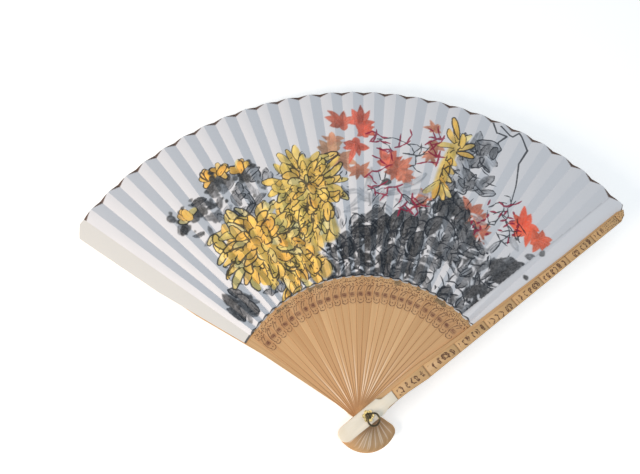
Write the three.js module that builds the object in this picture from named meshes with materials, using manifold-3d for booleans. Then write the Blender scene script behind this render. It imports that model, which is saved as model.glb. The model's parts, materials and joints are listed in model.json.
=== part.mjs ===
// A folding hand fan: thin bamboo ribs and two bamboo guards turn on one brass rivet at the head,
// a pleated paper leaf is glued to them, and a small ring for a tassel hangs on the rivet's eye.
// Millimetres. The origin is on the rivet's rear face, the rivet's axis is +Z, and the fan opens
// toward +Y with the front guard on top. A stick is drawn along +Y and then turned to its place.
import * as THREE from 'three';
import { mergeVertices } from 'three/addons/utils/BufferGeometryUtils.js';
import Module from 'manifold-3d';

const wasm = await Module();
wasm.setup();

// Driving dimensions
const RIB_COUNT = 26;
const PITCH_DEG = 4.1; // angle between neighbouring sticks when the fan is open
const HEAD_LENGTH = 25.5; // from the rivet to the rounded end of every stick
const HEAD_RADIUS = 5.4;
const BOLSTER_HEAD_RADIUS = 5.6;
const LEAF_INNER = 105.5;
const LEAF_OUTER = 276;
const PLEAT_HEIGHT = 2.0; // from a valley crease up to the next crest crease
const PAPER = 0.15;
const LEAF_GAP = 0.15; // a crest crease is parted by twice this, so that each pleat is a piece
const LEAF_ROWS = 6;
const FLAP = 2.5; // how far the leaf's end reaches beyond the middle line of the front guard
const RIB_THICK = 0.45;
const RIB_STEP = 0.55; // one rib lies this much above the last
const FIRST_RIB_Z = 4.0;
const RIB_TIP = 268;
const SHOULDER = 104.9; // the blade ends here and only the thin tongue runs on under the leaf
const TONGUE_THICK = 0.22;
const TONGUE_FLAT_END = 105;
const TONGUE_TILT_START = 112;
const PIN_RADIUS = 1.5;
const HOLE_RADIUS = 1.7;
const STACK_GAP = 0.1; // between flat pieces that lie on each other
const GUARD_SLAT = 1.2; // inner layer of the rear guard
const GUARD_RECESS = 0.4; // the rear guard is thinner where the leaf is glued on
const GUARD_STRIP = 1.6; // outer bamboo layer of a guard
const GUARD_TIP = 272;
const GUARD_STRIP_START = 24.6; // the bolster ends here and the outer layer begins
const INTERNODE = 29.5; // between the rings of the guard's bamboo
const INTERNODES = 8;
const SCALLOPS = 4; // cut in the edge of each internode
const SCALLOP_DEPTH = 0.4;
const NODE_CUT_WIDTH = 0.6;
const NODE_CUT_DEPTH = 0.35;
const FRONT_SLAT = 2.9;
const FRONT_RECESS = 1.9; // room under the front guard for the folded leaf
const RECESS_START = 103.5;
const BOLSTER_THICK = 1.5;
const WASHER_THICK = 0.6;
const RIVET_HEAD_THICK = 0.8;
const REAR_HEAD_THICK = 0.9;
const RING_RADIUS = 4.5;
const RING_WIRE = 0.5;
const EYE_RADIUS = 1.5;
const EYE_WIRE = 0.45;
const RING_DIRECTION_DEG = -34.65; // the ring lies toward this side of the rivet
const RING_DROP_DEG = 15; // and slopes down by this much

const PITCH = THREE.MathUtils.degToRad(PITCH_DEG);
const HALF_PANEL = PITCH / 4;
const PLEAT_SLOPE = PLEAT_HEIGHT / (PITCH / 2); // height per radian of a panel's angle

// Heights of the stack, from the rear face of the rivet up
const REAR_BOLSTER_Z = 1.1;
const REAR_SLAT_Z = 2.7;
const REAR_LEAF_Z = REAR_SLAT_Z + GUARD_SLAT - GUARD_RECESS + STACK_GAP;
const ribZ = (i) => FIRST_RIB_Z + RIB_STEP * (i - 1);
const FRONT_SLAT_Z = ribZ(RIB_COUNT) + RIB_THICK + STACK_GAP;
const LAST_CREST_Z = FRONT_SLAT_Z + FRONT_RECESS - 0.35; // under the front guard, with room for glue
const FRONT_TOP_Z = FRONT_SLAT_Z + FRONT_SLAT;
const FRONT_BOLSTER_Z = FRONT_TOP_Z + STACK_GAP;
const WASHER_Z = FRONT_BOLSTER_Z + BOLSTER_THICK + STACK_GAP;
const RIVET_HEAD_Z = WASHER_Z + WASHER_THICK + STACK_GAP;
const EYE_Z = RIVET_HEAD_Z + RIVET_HEAD_THICK + EYE_RADIUS - 0.2;

const stickTurn = (i) => PITCH * ((RIB_COUNT + 1) / 2 - i);
const LAST = RIB_COUNT + 1;

const finishes = {
  bamboo: { color: 0xd4aa78, roughness: 0.5, metalness: 0 },
  guard: { color: 0xc9a266, roughness: 0.5, metalness: 0 },
  ivory: { color: 0xeee1d0, roughness: 0.4, metalness: 0 },
  paper: { color: 0xe2dedc, roughness: 0.9, metalness: 0 },
  bronze: { color: 0x6f6040, roughness: 0.4, metalness: 0.9 },
};

// Boolean helpers
function toSolid(geometry) {
  const bare = geometry.index ? geometry.toNonIndexed() : geometry.clone();
  bare.deleteAttribute('normal');
  bare.deleteAttribute('uv');
  const merged = mergeVertices(bare, 1e-4);
  return new wasm.Manifold(new wasm.Mesh({
    numProp: 3,
    vertProperties: new Float32Array(merged.attributes.position.array),
    triVerts: new Uint32Array(merged.index.array),
  }));
}

function toGeometry(solid) {
  const mesh = solid.getMesh();
  const geometry = new THREE.BufferGeometry();
  geometry.setAttribute('position', new THREE.BufferAttribute(mesh.vertProperties, mesh.numProp));
  geometry.setIndex(new THREE.BufferAttribute(mesh.triVerts, 1));
  return geometry;
}

const join = (...geometries) => toGeometry(geometries.map(toSolid).reduce((a, b) => a.add(b)));

// An outline in the XY plane, with or without the rivet's hole, between two heights
function plate(outline, low, high, { hole = true, curveSegments = 6 } = {}) {
  if (hole) {
    const turnsRight = THREE.ShapeUtils.isClockWise(outline.getPoints());
    outline.holes.push(new THREE.Path().absarc(0, 0, HOLE_RADIUS, 0, 2 * Math.PI, !turnsRight));
  }
  const geometry = new THREE.ExtrudeGeometry(outline, {
    depth: high - low,
    bevelEnabled: false,
    curveSegments,
  });
  return geometry.translate(0, 0, low);
}

const flat = (outline, low, thickness) => plate(outline, low, low + thickness);

// A thin closed shell: rows of [x, y, z] along its underside, and the same rows raised by thickness
function shell(rows, thickness) {
  const columns = rows[0].length;
  const under = rows.flat();
  const position = [...under, ...under.map(([x, y, z]) => [x, y, z + thickness])].flat();
  const index = [];
  const quad = (a, b, c, d) => index.push(a, b, c, a, c, d);
  const at = (row, column) => row * columns + column;
  const top = under.length;
  for (let r = 0; r < rows.length - 1; r++) {
    for (let c = 0; c < columns - 1; c++) {
      quad(at(r, c), at(r + 1, c), at(r + 1, c + 1), at(r, c + 1));
      quad(top + at(r, c), top + at(r, c + 1), top + at(r + 1, c + 1), top + at(r + 1, c));
    }
  }
  const rim = [];
  for (let c = 0; c < columns - 1; c++) rim.push(at(0, c));
  for (let r = 0; r < rows.length - 1; r++) rim.push(at(r, columns - 1));
  for (let c = columns - 1; c > 0; c--) rim.push(at(rows.length - 1, c));
  for (let r = rows.length - 1; r > 0; r--) rim.push(at(r, 0));
  rim.forEach((a, k) => {
    const b = rim[(k + 1) % rim.length];
    quad(a, b, top + b, top + a);
  });
  const geometry = new THREE.BufferGeometry();
  geometry.setAttribute('position', new THREE.Float32BufferAttribute(position, 3));
  geometry.setIndex(index);
  return geometry;
}

// Every stick's outline begins with its rounded head, below the rivet
function startAtHead(radius, mirror) {
  const shape = new THREE.Shape();
  const [from, to] = mirror > 0 ? [Math.PI, 2 * Math.PI] : [0, Math.PI];
  shape.absarc(0, radius - HEAD_LENGTH, radius, from, to, mirror < 0);
  return shape;
}

// Ribs
function ribOutline() {
  const waist = 5.6;
  const shape = startAtHead(HEAD_RADIUS, 1);
  shape.lineTo(6.2, 0);
  shape.lineTo(waist, 60);
  shape.lineTo(waist, SHOULDER - 3.6);
  shape.lineTo(5.0, SHOULDER - 1.7);
  shape.lineTo(3.9, SHOULDER - 0.4);
  shape.lineTo(1.3, SHOULDER);
  shape.lineTo(-1.3, SHOULDER);
  shape.lineTo(-3.9, SHOULDER - 0.4);
  shape.lineTo(-5.0, SHOULDER - 1.7);
  shape.lineTo(-waist, SHOULDER - 3.6);
  shape.lineTo(-waist, 60);
  shape.lineTo(-6.2, 0);
  return shape;
}

// The tongue lies on the blade's level at the shoulder and then tilts with the panel above it
function tongueRows() {
  const rootZ = 0.1;
  const tipZ = PLEAT_HEIGHT / 2 - STACK_GAP - TONGUE_THICK;
  const stations = [SHOULDER - 2, TONGUE_FLAT_END, 108.5, TONGUE_TILT_START, 150, 200, RIB_TIP];
  return stations.map((y) => {
    const along = (y - TONGUE_FLAT_END) / (TONGUE_TILT_START - TONGUE_FLAT_END);
    const tilt = THREE.MathUtils.clamp(along, 0, 1);
    const halfWidth = THREE.MathUtils.mapLinear(Math.max(y, SHOULDER), SHOULDER, RIB_TIP, 1.2, 1.75);
    const z = THREE.MathUtils.lerp(rootZ, tipZ, tilt);
    return [-halfWidth, halfWidth].map((x) => [x, y, z - (PLEAT_SLOPE * tilt * x) / y]);
  });
}

const ribGeometry = join(
  plate(ribOutline(), 0, RIB_THICK, { curveSegments: 4 }),
  shell(tongueRows(), TONGUE_THICK),
);

// Guards: an inner slat, and an outer layer that is narrower on the fan's side.
// Each edge is a table of [distance from the rivet, distance from the stick's middle line].
// The fan's outside is on +X for the front guard, and mirror = -1 puts it on -X for the rear one.
const FRONT_EDGES = {
  outside: [[0, 6.0], [24, 4.6], [34, 4.9], [52, 6.4], [90, 6.4], [150, 6.6], [GUARD_TIP - 9, 6.9]],
  inside: [[0, 6.0], [30, 6.6], [52, 6.4], [73, 5.1], [90, 3.8], [160, 1.8], [200, 1.2], [266, 1.2]],
};
const REAR_EDGES = {
  outside: [[0, 6.0], [24, 4.6], [60, 4.6], [90, 4.9], [150, 8.6], [GUARD_TIP - 9, 8.6]],
  inside: [[0, 6.0], [90, 6.2], [150, 4.8], [GUARD_TIP - 10, 4.6]],
};
// How much farther the slat reaches than the rind, on the fan's side
const FLANGE = [[GUARD_STRIP_START, 2.9], [90, 2.8], [150, 1.4], [GUARD_TIP, 1.2]];

function guardSlatOutline(mirror, { outside, inside }) {
  const shape = startAtHead(HEAD_RADIUS, mirror);
  const points = [
    ...outside.map(([y, x]) => [x, y]),
    [outside.at(-1)[1] - 2.2, GUARD_TIP - 4],
    [0.4, GUARD_TIP],
    ...inside.map(([y, x]) => [-x, y]).reverse(),
  ];
  points.forEach(([x, y]) => shape.lineTo(mirror * x, y));
  return shape;
}

// The rind's outer edge is cut in shallow scallops, a few to each internode
function guardStripOutline(mirror, { outside, inside }) {
  const inset = 0.2;
  const outer = (y) => valueAt(outside, y) - inset;
  const inner = (y) => valueAt(FLANGE, y) - valueAt(inside, y);
  const count = INTERNODES * SCALLOPS;
  const points = [];
  for (let k = 0; k <= count; k++) {
    const y = GUARD_STRIP_START + (k * INTERNODE) / SCALLOPS;
    points.push([outer(y) - SCALLOP_DEPTH, y]);
    if (k < count) {
      const peak = y + INTERNODE / SCALLOPS / 2;
      points.push([outer(peak), peak]);
    }
  }
  points.push([outer(GUARD_TIP) - 2.2, GUARD_TIP - 4.5], [0.5, GUARD_TIP - 1]);
  for (const y of [GUARD_TIP - 6, 200, 150, 90, 73, 52, GUARD_STRIP_START]) points.push([inner(y), y]);
  const shape = new THREE.Shape();
  points.forEach(([x, y], k) => (k ? shape.lineTo(mirror * x, y) : shape.moveTo(mirror * x, y)));
  return shape;
}

function valueAt(table, y) {
  const k = table.findIndex(([next]) => y <= next);
  if (k <= 0) return k === 0 ? table[0][1] : table.at(-1)[1];
  const [[fromY, from], [toY, to]] = [table[k - 1], table[k]];
  return THREE.MathUtils.mapLinear(y, fromY, toY, from, to);
}

// The rings of the bamboo are shallow cuts across the rind's face
function nodeCuts(faceZ) {
  const cuts = [];
  for (let k = 1; k <= INTERNODES; k++) {
    const y = GUARD_STRIP_START + k * INTERNODE;
    cuts.push(toSolid(new THREE.BoxGeometry(40, NODE_CUT_WIDTH, 2 * NODE_CUT_DEPTH).translate(0, y, faceZ)));
  }
  return cuts.reduce((a, b) => a.add(b));
}

function recessBlock(low, high) {
  const length = GUARD_TIP + 10 - RECESS_START;
  return new THREE.BoxGeometry(40, length, high - low)
    .translate(0, RECESS_START + length / 2, (low + high) / 2);
}

function guard({ mirror, edges, slat, strip, recess }) {
  const body = toSolid(plate(guardSlatOutline(mirror, edges), ...slat));
  const layer = toSolid(plate(guardStripOutline(mirror, edges), ...strip, { hole: false }));
  const face = mirror > 0 ? strip[1] : strip[0];
  return toGeometry(body.subtract(toSolid(recessBlock(...recess))).add(layer.subtract(nodeCuts(face))));
}

const OVERLAP = 0.2; // the two layers of a guard are one piece, so they run into each other
const rearGuardGeometry = guard({
  mirror: -1,
  edges: REAR_EDGES,
  slat: [REAR_SLAT_Z, REAR_SLAT_Z + GUARD_SLAT],
  strip: [REAR_SLAT_Z - GUARD_STRIP, REAR_SLAT_Z + OVERLAP],
  recess: [REAR_SLAT_Z + GUARD_SLAT - GUARD_RECESS, REAR_SLAT_Z + GUARD_SLAT + 1],
});
const frontGuardGeometry = guard({
  mirror: 1,
  edges: FRONT_EDGES,
  slat: [FRONT_SLAT_Z, FRONT_TOP_Z],
  strip: [FRONT_TOP_Z - OVERLAP, FRONT_TOP_Z + GUARD_STRIP],
  recess: [FRONT_SLAT_Z - 1, FRONT_SLAT_Z + FRONT_RECESS],
});

// Bolsters: pale plates over the head of each guard, with a narrow neck
function bolsterOutline(mirror) {
  const tip = 24.3;
  const points = [
    [6.0, 10.8],
    [4.3, 16.2],
    [4.3, tip],
    [-3.4, tip],
    [-3.4, 14.6],
    [-4.6, 12.8],
    [-5.9, 11.8],
  ];
  const shape = startAtHead(BOLSTER_HEAD_RADIUS, mirror);
  points.forEach(([x, y]) => shape.lineTo(mirror * x, y));
  return shape;
}

// Brass: the rivet with its eye, the flower washer and the tassel ring
function flowerOutline(radius, petals, depth) {
  const shape = new THREE.Shape();
  const stepsPerPetal = 4;
  const count = petals * stepsPerPetal;
  for (let k = 0; k < count; k++) {
    const turn = (2 * Math.PI * k) / count;
    const reach = radius - depth * Math.abs(Math.sin((petals * turn) / 2));
    const x = reach * Math.cos(turn);
    const y = reach * Math.sin(turn);
    if (k) shape.lineTo(x, y);
    else shape.moveTo(x, y);
  }
  return shape;
}

function cylinder(radius, low, high, segments) {
  return new THREE.CylinderGeometry(radius, radius, high - low, segments)
    .rotateX(Math.PI / 2)
    .translate(0, 0, (low + high) / 2);
}

function rivet() {
  const headOverlap = 0.1;
  const pin = cylinder(PIN_RADIUS, REAR_HEAD_THICK - headOverlap, RIVET_HEAD_Z + headOverlap, 12);
  const rearHead = plate(flowerOutline(4.2, 8, 0.7), 0, REAR_HEAD_THICK, { hole: false });
  const frontHead = cylinder(2.3, RIVET_HEAD_Z, RIVET_HEAD_Z + RIVET_HEAD_THICK, 12);
  const eye = new THREE.TorusGeometry(EYE_RADIUS, EYE_WIRE, 8, 14)
    .rotateX(Math.PI / 2)
    .rotateZ(THREE.MathUtils.degToRad(RING_DIRECTION_DEG))
    .translate(0, 0, EYE_Z);
  return join(pin, rearHead, frontHead, eye);
}

function tasselRing() {
  return new THREE.TorusGeometry(RING_RADIUS, RING_WIRE, 8, 20).translate(RING_RADIUS, 0, 0);
}

// Leaf: node i is the panel glued on stick i and the free panel that joins it to stick i + 1.
// The glued panel falls from its crest crease to a valley crease and the free one climbs again.
function leafRows(i) {
  const turn = Math.PI / 2 + stickTurn(i);
  const valley = i === 0 ? REAR_LEAF_Z : ribZ(i);
  const crestNext = i === RIB_COUNT ? LAST_CREST_Z : ribZ(i + 1) + PLEAT_HEIGHT;
  const rows = [];
  for (let k = 0; k <= LEAF_ROWS; k++) {
    const radius = THREE.MathUtils.lerp(LEAF_INNER, LEAF_OUTER, k / LEAF_ROWS);
    const gap = LEAF_GAP / radius;
    const onStick = (angle, z, reach = radius) => [
      reach * Math.cos(turn + angle),
      reach * Math.sin(turn + angle),
      z,
    ];
    const left = i === 0
      ? glued(k, radius, onStick, valley)
      : onStick(HALF_PANEL - gap, valley + PLEAT_HEIGHT - PLEAT_SLOPE * gap);
    const row = [left, onStick(-HALF_PANEL, valley)];
    if (i < RIB_COUNT) row.push(onStick(-PITCH + HALF_PANEL + gap, crestNext - PLEAT_SLOPE * gap));
    else row.push(onStick(-PITCH + HALF_PANEL, crestNext), flapEnd(radius, onStick, crestNext));
    rows.push(row);
  }
  return rows;
}

// The leaf's last strip lies flat under the front guard
function flapEnd(radius, onStick, z) {
  const reach = Math.min(radius, GUARD_TIP - 4);
  return onStick(-PITCH - FLAP / reach, z, reach);
}

// The leaf's first strip lies flat on the rear guard, and its outer corner is cut off
function glued(k, radius, onStick, z) {
  const width = THREE.MathUtils.lerp(5.2, 10.2, Math.min(1, (2 * k) / LEAF_ROWS));
  const cornerCut = 8;
  const reach = k === LEAF_ROWS ? radius - cornerCut : radius;
  return onStick(Math.asin(width / reach), z, reach);
}

// Assembly
const fan = new THREE.Group();

function add(parent, name, geometry, finish) {
  const mesh = new THREE.Mesh(geometry, new THREE.MeshStandardMaterial(finishes[finish]));
  mesh.name = name;
  parent.add(mesh);
  return mesh;
}

function stick(i) {
  const group = new THREE.Group();
  group.rotation.z = stickTurn(i);
  fan.add(group);
  return group;
}

const twoDigits = (n) => String(n).padStart(2, '0');

const rear = stick(0);
add(rear, 'rear_guard', rearGuardGeometry, 'guard');
add(rear, 'rear_bolster', flat(bolsterOutline(-1), REAR_BOLSTER_Z, BOLSTER_THICK), 'ivory');

for (let i = 1; i <= RIB_COUNT; i++) {
  add(stick(i), `rib_${twoDigits(i)}`, ribGeometry, 'bamboo').position.z = ribZ(i);
}

const front = stick(LAST);
add(front, 'front_guard', frontGuardGeometry, 'guard');
add(front, 'front_bolster', flat(bolsterOutline(1), FRONT_BOLSTER_Z, BOLSTER_THICK), 'ivory');
add(front, 'front_washer', flat(flowerOutline(4.3, 6, 0.8), WASHER_Z, WASHER_THICK), 'bronze');

for (let i = 0; i <= RIB_COUNT; i++) {
  add(fan, `leaf_pleat_${twoDigits(i)}`, shell(leafRows(i), PAPER), 'paper');
}

add(fan, 'rivet', rivet(), 'bronze');

const ring = new THREE.Group();
ring.position.z = EYE_Z;
ring.rotation.z = THREE.MathUtils.degToRad(RING_DIRECTION_DEG);
fan.add(ring);
add(ring, 'tassel_ring', tasselRing(), 'bronze').rotation.y = THREE.MathUtils.degToRad(RING_DROP_DEG);

export default fan;
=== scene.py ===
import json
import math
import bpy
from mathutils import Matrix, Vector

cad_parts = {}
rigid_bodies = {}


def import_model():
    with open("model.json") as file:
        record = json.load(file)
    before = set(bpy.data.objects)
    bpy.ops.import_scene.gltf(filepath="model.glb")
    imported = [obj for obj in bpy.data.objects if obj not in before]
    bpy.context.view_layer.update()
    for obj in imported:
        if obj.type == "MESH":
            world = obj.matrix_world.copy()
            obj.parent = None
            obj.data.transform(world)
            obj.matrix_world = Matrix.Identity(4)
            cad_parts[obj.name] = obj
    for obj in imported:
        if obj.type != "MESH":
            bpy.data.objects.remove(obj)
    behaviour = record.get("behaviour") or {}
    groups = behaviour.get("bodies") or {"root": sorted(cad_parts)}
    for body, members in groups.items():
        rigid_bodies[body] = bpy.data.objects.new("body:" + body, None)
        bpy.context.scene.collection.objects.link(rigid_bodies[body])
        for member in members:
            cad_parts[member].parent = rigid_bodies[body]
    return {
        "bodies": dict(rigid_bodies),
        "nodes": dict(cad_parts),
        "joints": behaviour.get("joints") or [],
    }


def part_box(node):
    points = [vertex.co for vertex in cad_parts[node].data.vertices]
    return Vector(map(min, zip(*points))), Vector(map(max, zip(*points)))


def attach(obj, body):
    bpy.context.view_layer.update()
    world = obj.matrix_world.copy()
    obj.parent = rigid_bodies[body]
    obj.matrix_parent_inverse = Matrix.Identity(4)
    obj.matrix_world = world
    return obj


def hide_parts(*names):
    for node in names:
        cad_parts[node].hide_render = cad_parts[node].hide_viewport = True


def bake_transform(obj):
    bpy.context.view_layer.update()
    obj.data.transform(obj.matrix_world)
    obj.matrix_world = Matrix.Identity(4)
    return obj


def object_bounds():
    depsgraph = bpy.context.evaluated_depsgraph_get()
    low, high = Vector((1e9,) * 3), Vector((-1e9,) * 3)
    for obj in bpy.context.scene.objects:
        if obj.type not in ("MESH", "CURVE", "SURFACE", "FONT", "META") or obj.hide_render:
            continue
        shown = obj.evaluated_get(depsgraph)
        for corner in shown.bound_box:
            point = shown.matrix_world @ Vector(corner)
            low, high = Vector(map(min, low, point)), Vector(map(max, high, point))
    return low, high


bl_info = {
    "name": "Folding Hand Fan",
    "version": (1, 0, 0),
    "blender": (4, 5, 0),
    "location": "3D View > Sidebar > Fan",
    "description": "Builds a folding fan of bamboo ribs with a painted paper leaf on its packed frame",
    "category": "Add Mesh",
}

import bmesh
import bpy
import numpy as np
from bpy.props import FloatProperty, FloatVectorProperty, IntProperty, PointerProperty
from bpy.types import Operator, Panel, PropertyGroup
from mathutils import Matrix, Vector

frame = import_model()
CAD_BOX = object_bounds()

MM = 0.001
PAPER_THICKNESS = 0.15 * MM
MERGE = 0.002 * MM
FIRST_NODE = 24.6
INTERNODE = 29.5
RIB_SEED, COCKLE_SEED, PAINTING_SEED = 11, 23, 4
NO_LINE = 9.0
RIB_HALF_WIDTH = 6.2 * MM
SHOULDER_GAP = 0.05 * MM
RIND_THICKNESS = 1.4 * MM
RIB_BEVEL, GUARD_BEVEL, BOLSTER_BEVEL = 0.1 * MM, 0.22 * MM, 0.4 * MM
EYE_RADIUS, EYE_WIRE = 1.5 * MM, 0.45 * MM
REAR_HEAD = 0.9 * MM
FLAP = 2.5 * MM
CORNER = 8 * MM
BARE_STRIP = 14.2
# How far the painted shadow reaches in from the outer edge at a valley, in millimetres.
VALLEY_SHADOW_DEPTH = 2.7
FLOOR_SIZE = 8.0
BACKGROUND_GLOW = 0.38
CAMERA_AIM = Vector((-0.0287, 0.1426, 0.0))
CAMERA_DISTANCE = 0.4211
CAMERA_TURNS = (-8.594, 71.634, 6.992)

STICKS = ["rear_guard", *sorted(b for b in frame["bodies"] if b.startswith("rib_")), "front_guard"]
FRONT = len(STICKS) - 1
PITCH = math.radians(frame["joints"][0]["range_deg"][1])
HALF_PANEL = PITCH / 4


def pleat_node(i):
    return f"leaf_pleat_{i:02d}"


def reach_of(node):
    """Least and greatest distance of a CAD node's points from the rivet's axis."""
    reaches = [math.hypot(v.co.x, v.co.y) for v in frame["nodes"][node].data.vertices]
    return min(reaches), max(reaches)


LEAF_INNER, LEAF_OUTER = reach_of(pleat_node(13))


def stick_turn(i):
    """How far stick i is turned from the fan's middle line, +Y."""
    return PITCH * (FRONT / 2 - i)


def valley_height(i):
    """Top of the paper at the valley crease of stick i."""
    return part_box(pleat_node(i))[0].z + PAPER_THICKNESS


def crest_height(i):
    """Top of the paper at the crest crease to the left of stick i."""
    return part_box(pleat_node(i - 1))[1].z


def colour_setting(label, description, default):
    return FloatVectorProperty(
        name=label, description=description, subtype="COLOR", size=3, min=0, max=1, default=default
    )


def from_screen(colour):
    """A colour as it shows on a screen, in the linear values that shaders use."""
    values = np.asarray(colour, float)
    return np.where(values <= 0.04045, values / 12.92, ((values + 0.055) / 1.055) ** 2.4)


class FanLeafSettings(PropertyGroup):
    rows: IntProperty(
        name="Rows", description="Mesh rows from the paper's inner to its outer edge", default=262, min=20
    )
    columns: IntProperty(
        name="Columns", description="Columns of the paper's mesh across one panel", default=13, min=4
    )
    cockle: FloatProperty(
        name="Cockle",
        description="How far a free panel bulges between its creases",
        default=0.25 * MM,
        subtype="DISTANCE",
        unit="LENGTH",
    )
    paper: colour_setting("Paper", "Bare paper", (0.845, 0.84, 0.85))
    cream: colour_setting("Cream", "Paper glued on the rear guard", (0.90, 0.875, 0.84))
    yellow: colour_setting("Yellow", "Wash of the blossoms", (0.87, 0.745, 0.38))
    orange: colour_setting("Orange", "Warm wash in the blossoms' hearts and buds", (0.93, 0.69, 0.29))
    vermilion: colour_setting("Vermilion", "Maple leaves", (0.84, 0.38, 0.30))
    russet: colour_setting("Russet", "Withered maple leaves", (0.77, 0.56, 0.44))
    crimson: colour_setting("Crimson", "Maple twigs", (0.58, 0.16, 0.27))
    ink: colour_setting("Ink", "Brush lines", (0.15, 0.17, 0.20))
    # Colour of the painted shadow laid along the outer edge, deepest at the valleys.
    valley_shadow: colour_setting("Binding", "Dark paper that binds the outer edge", (0.34, 0.25, 0.20))


class FanWoodSettings(PropertyGroup):
    pale: colour_setting("Pale Bamboo", "Light streaks of the ribs", (0.88, 0.71, 0.51))
    deep: colour_setting("Deep Bamboo", "Dark streaks of the ribs", (0.77, 0.585, 0.39))
    rind: colour_setting("Rind", "Outer bamboo of the guards", (0.86, 0.68, 0.465))
    burnt: colour_setting("Burnt", "Burnt ornament", (0.30, 0.14, 0.08))
    crown: FloatProperty(
        name="Crown",
        description="How much lower a rib's edges are than its middle",
        default=0.18 * MM,
        subtype="DISTANCE",
        unit="LENGTH",
    )


class FanFittingSettings(PropertyGroup):
    ivory: colour_setting("Ivory", "Plates over the guards' heads", (0.945, 0.90, 0.83))
    brass: colour_setting("Brass", "Rubbed brass of the washer", (0.56, 0.50, 0.33))
    patina: colour_setting("Patina", "Darkened brass of the eye and ring", (0.33, 0.29, 0.23))


class FanStageSettings(PropertyGroup):
    floor: colour_setting("Floor", "Plain floor", (0.97, 0.97, 0.97))
    key: FloatProperty(name="Key", description="Power of the low lamp", default=7.5, min=0, unit="POWER")
    gleam: FloatProperty(
        name="Gleam", description="Power of the lamp that only polish shows", default=0.7, min=0, unit="POWER"
    )
    fill: FloatProperty(name="Fill Light", description="Strength of the light all round", default=0.60, min=0)
    focal: FloatProperty(
        name="Focal Length", description="Camera lens", default=28.1, subtype="DISTANCE_CAMERA", unit="CAMERA"
    )


# Shaders


class Value:
    """A shader socket that can be used in sums, products and comparisons."""

    def __init__(self, surface, socket):
        self.surface = surface
        self.socket = socket

    def math(self, operation, *values):
        return self.surface.node("ShaderNodeMath", {"operation": operation}, values)

    def __add__(self, other):
        return self.math("ADD", self, other)

    def __sub__(self, other):
        return self.math("SUBTRACT", self, other)

    def __mul__(self, other):
        return self.math("MULTIPLY", self, other)

    def __truediv__(self, other):
        return self.math("DIVIDE", self, other)

    def __rsub__(self, other):
        return self.math("SUBTRACT", other, self)

    def __mod__(self, other):
        return self.math("FLOORED_MODULO", self, other)

    def __abs__(self):
        return self.math("ABSOLUTE", self)

    __radd__ = __add__
    __rmul__ = __mul__

    def root(self):
        return self.math("SQRT", self)

    def floor(self):
        return self.math("FLOOR", self)

    def least(self, other):
        return self.math("MINIMUM", self, other)

    def most(self, other):
        return self.math("MAXIMUM", self, other)

    def clamped(self):
        return self.most(0.0).least(1.0)

    def below(self, limit, softness):
        """1 where this is under the limit, 0 where it is over, with a soft step."""
        return ((limit - self) / softness + 0.5).clamped()


class Surface:
    """A material and the means to lay nodes in it."""

    def __init__(self, name, sockets):
        self.material = bpy.data.materials.new(name)
        self.material.use_nodes = True
        self.nodes = self.material.node_tree.nodes
        self.links = self.material.node_tree.links
        self.shader = self.nodes["Principled BSDF"]
        for socket, value in sockets.items():
            self.shader.inputs[socket].default_value = value

    def node(self, kind, settings, values, output=0):
        """Adds a node: first its settings, then a value or a link for each named or numbered socket."""
        made = self.nodes.new(kind)
        for setting, value in settings.items():
            setattr(made, setting, value)
        pairs = values.items() if isinstance(values, dict) else enumerate(values)
        for socket, value in pairs:
            if isinstance(value, Value):
                self.links.new(value.socket, made.inputs[socket])
            else:
                made.inputs[socket].default_value = value
        return Value(self, made.outputs[output])

    def feed(self, socket, value):
        self.links.new(value.socket, self.shader.inputs[socket])

    def uv(self, name):
        """Both coordinates of a UV map, in millimetres."""
        place = self.node("ShaderNodeUVMap", {"uv_map": name}, {})
        split = self.nodes.new("ShaderNodeSeparateXYZ")
        self.links.new(place.socket, split.inputs[0])
        return [Value(self, split.outputs[k]) * 1000.0 for k in range(2)]

    def place(self):
        return self.node("ShaderNodeTexCoord", {}, {}, "Object")

    def attribute(self, name, output="Fac"):
        return self.node("ShaderNodeAttribute", {"attribute_name": name}, {}, output)

    def vector(self, x, y, z=0.0):
        return self.node("ShaderNodeCombineXYZ", {}, (x, y, z))

    def noise(self, vector, scale, detail=2.0):
        return self.node("ShaderNodeTexNoise", {}, {"Vector": vector, "Scale": scale, "Detail": detail})

    def plain(self, colour):
        return (*from_screen(colour), 1.0)

    def mix(self, factor, first, second):
        """Blends two colours, whose sockets on the Mix node are numbers 6 and 7."""
        return self.node("ShaderNodeMix", {"data_type": "RGBA"}, {0: factor, 6: first, 7: second}, 2)

    def bump(self, height, strength, distance):
        values = {"Height": height, "Strength": strength, "Distance": distance}
        self.feed("Normal", self.node("ShaderNodeBump", {}, values))


def distance(x, y):
    return (x * x + y * y).root()


def bamboo_grain(surface, across, along, seed):
    """Fine fibres that run along a stick, from 0 to 1."""
    fibre = surface.noise(surface.vector(across * 3.2, along * 0.035, seed), 1.0, 3.0)
    band = surface.noise(surface.vector(across * 0.5, along * 0.012, seed + 7.0), 1.0, 1.0)
    return (fibre * 0.6 + band * 0.4 - 0.5) * 1.9 + 0.5


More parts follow.
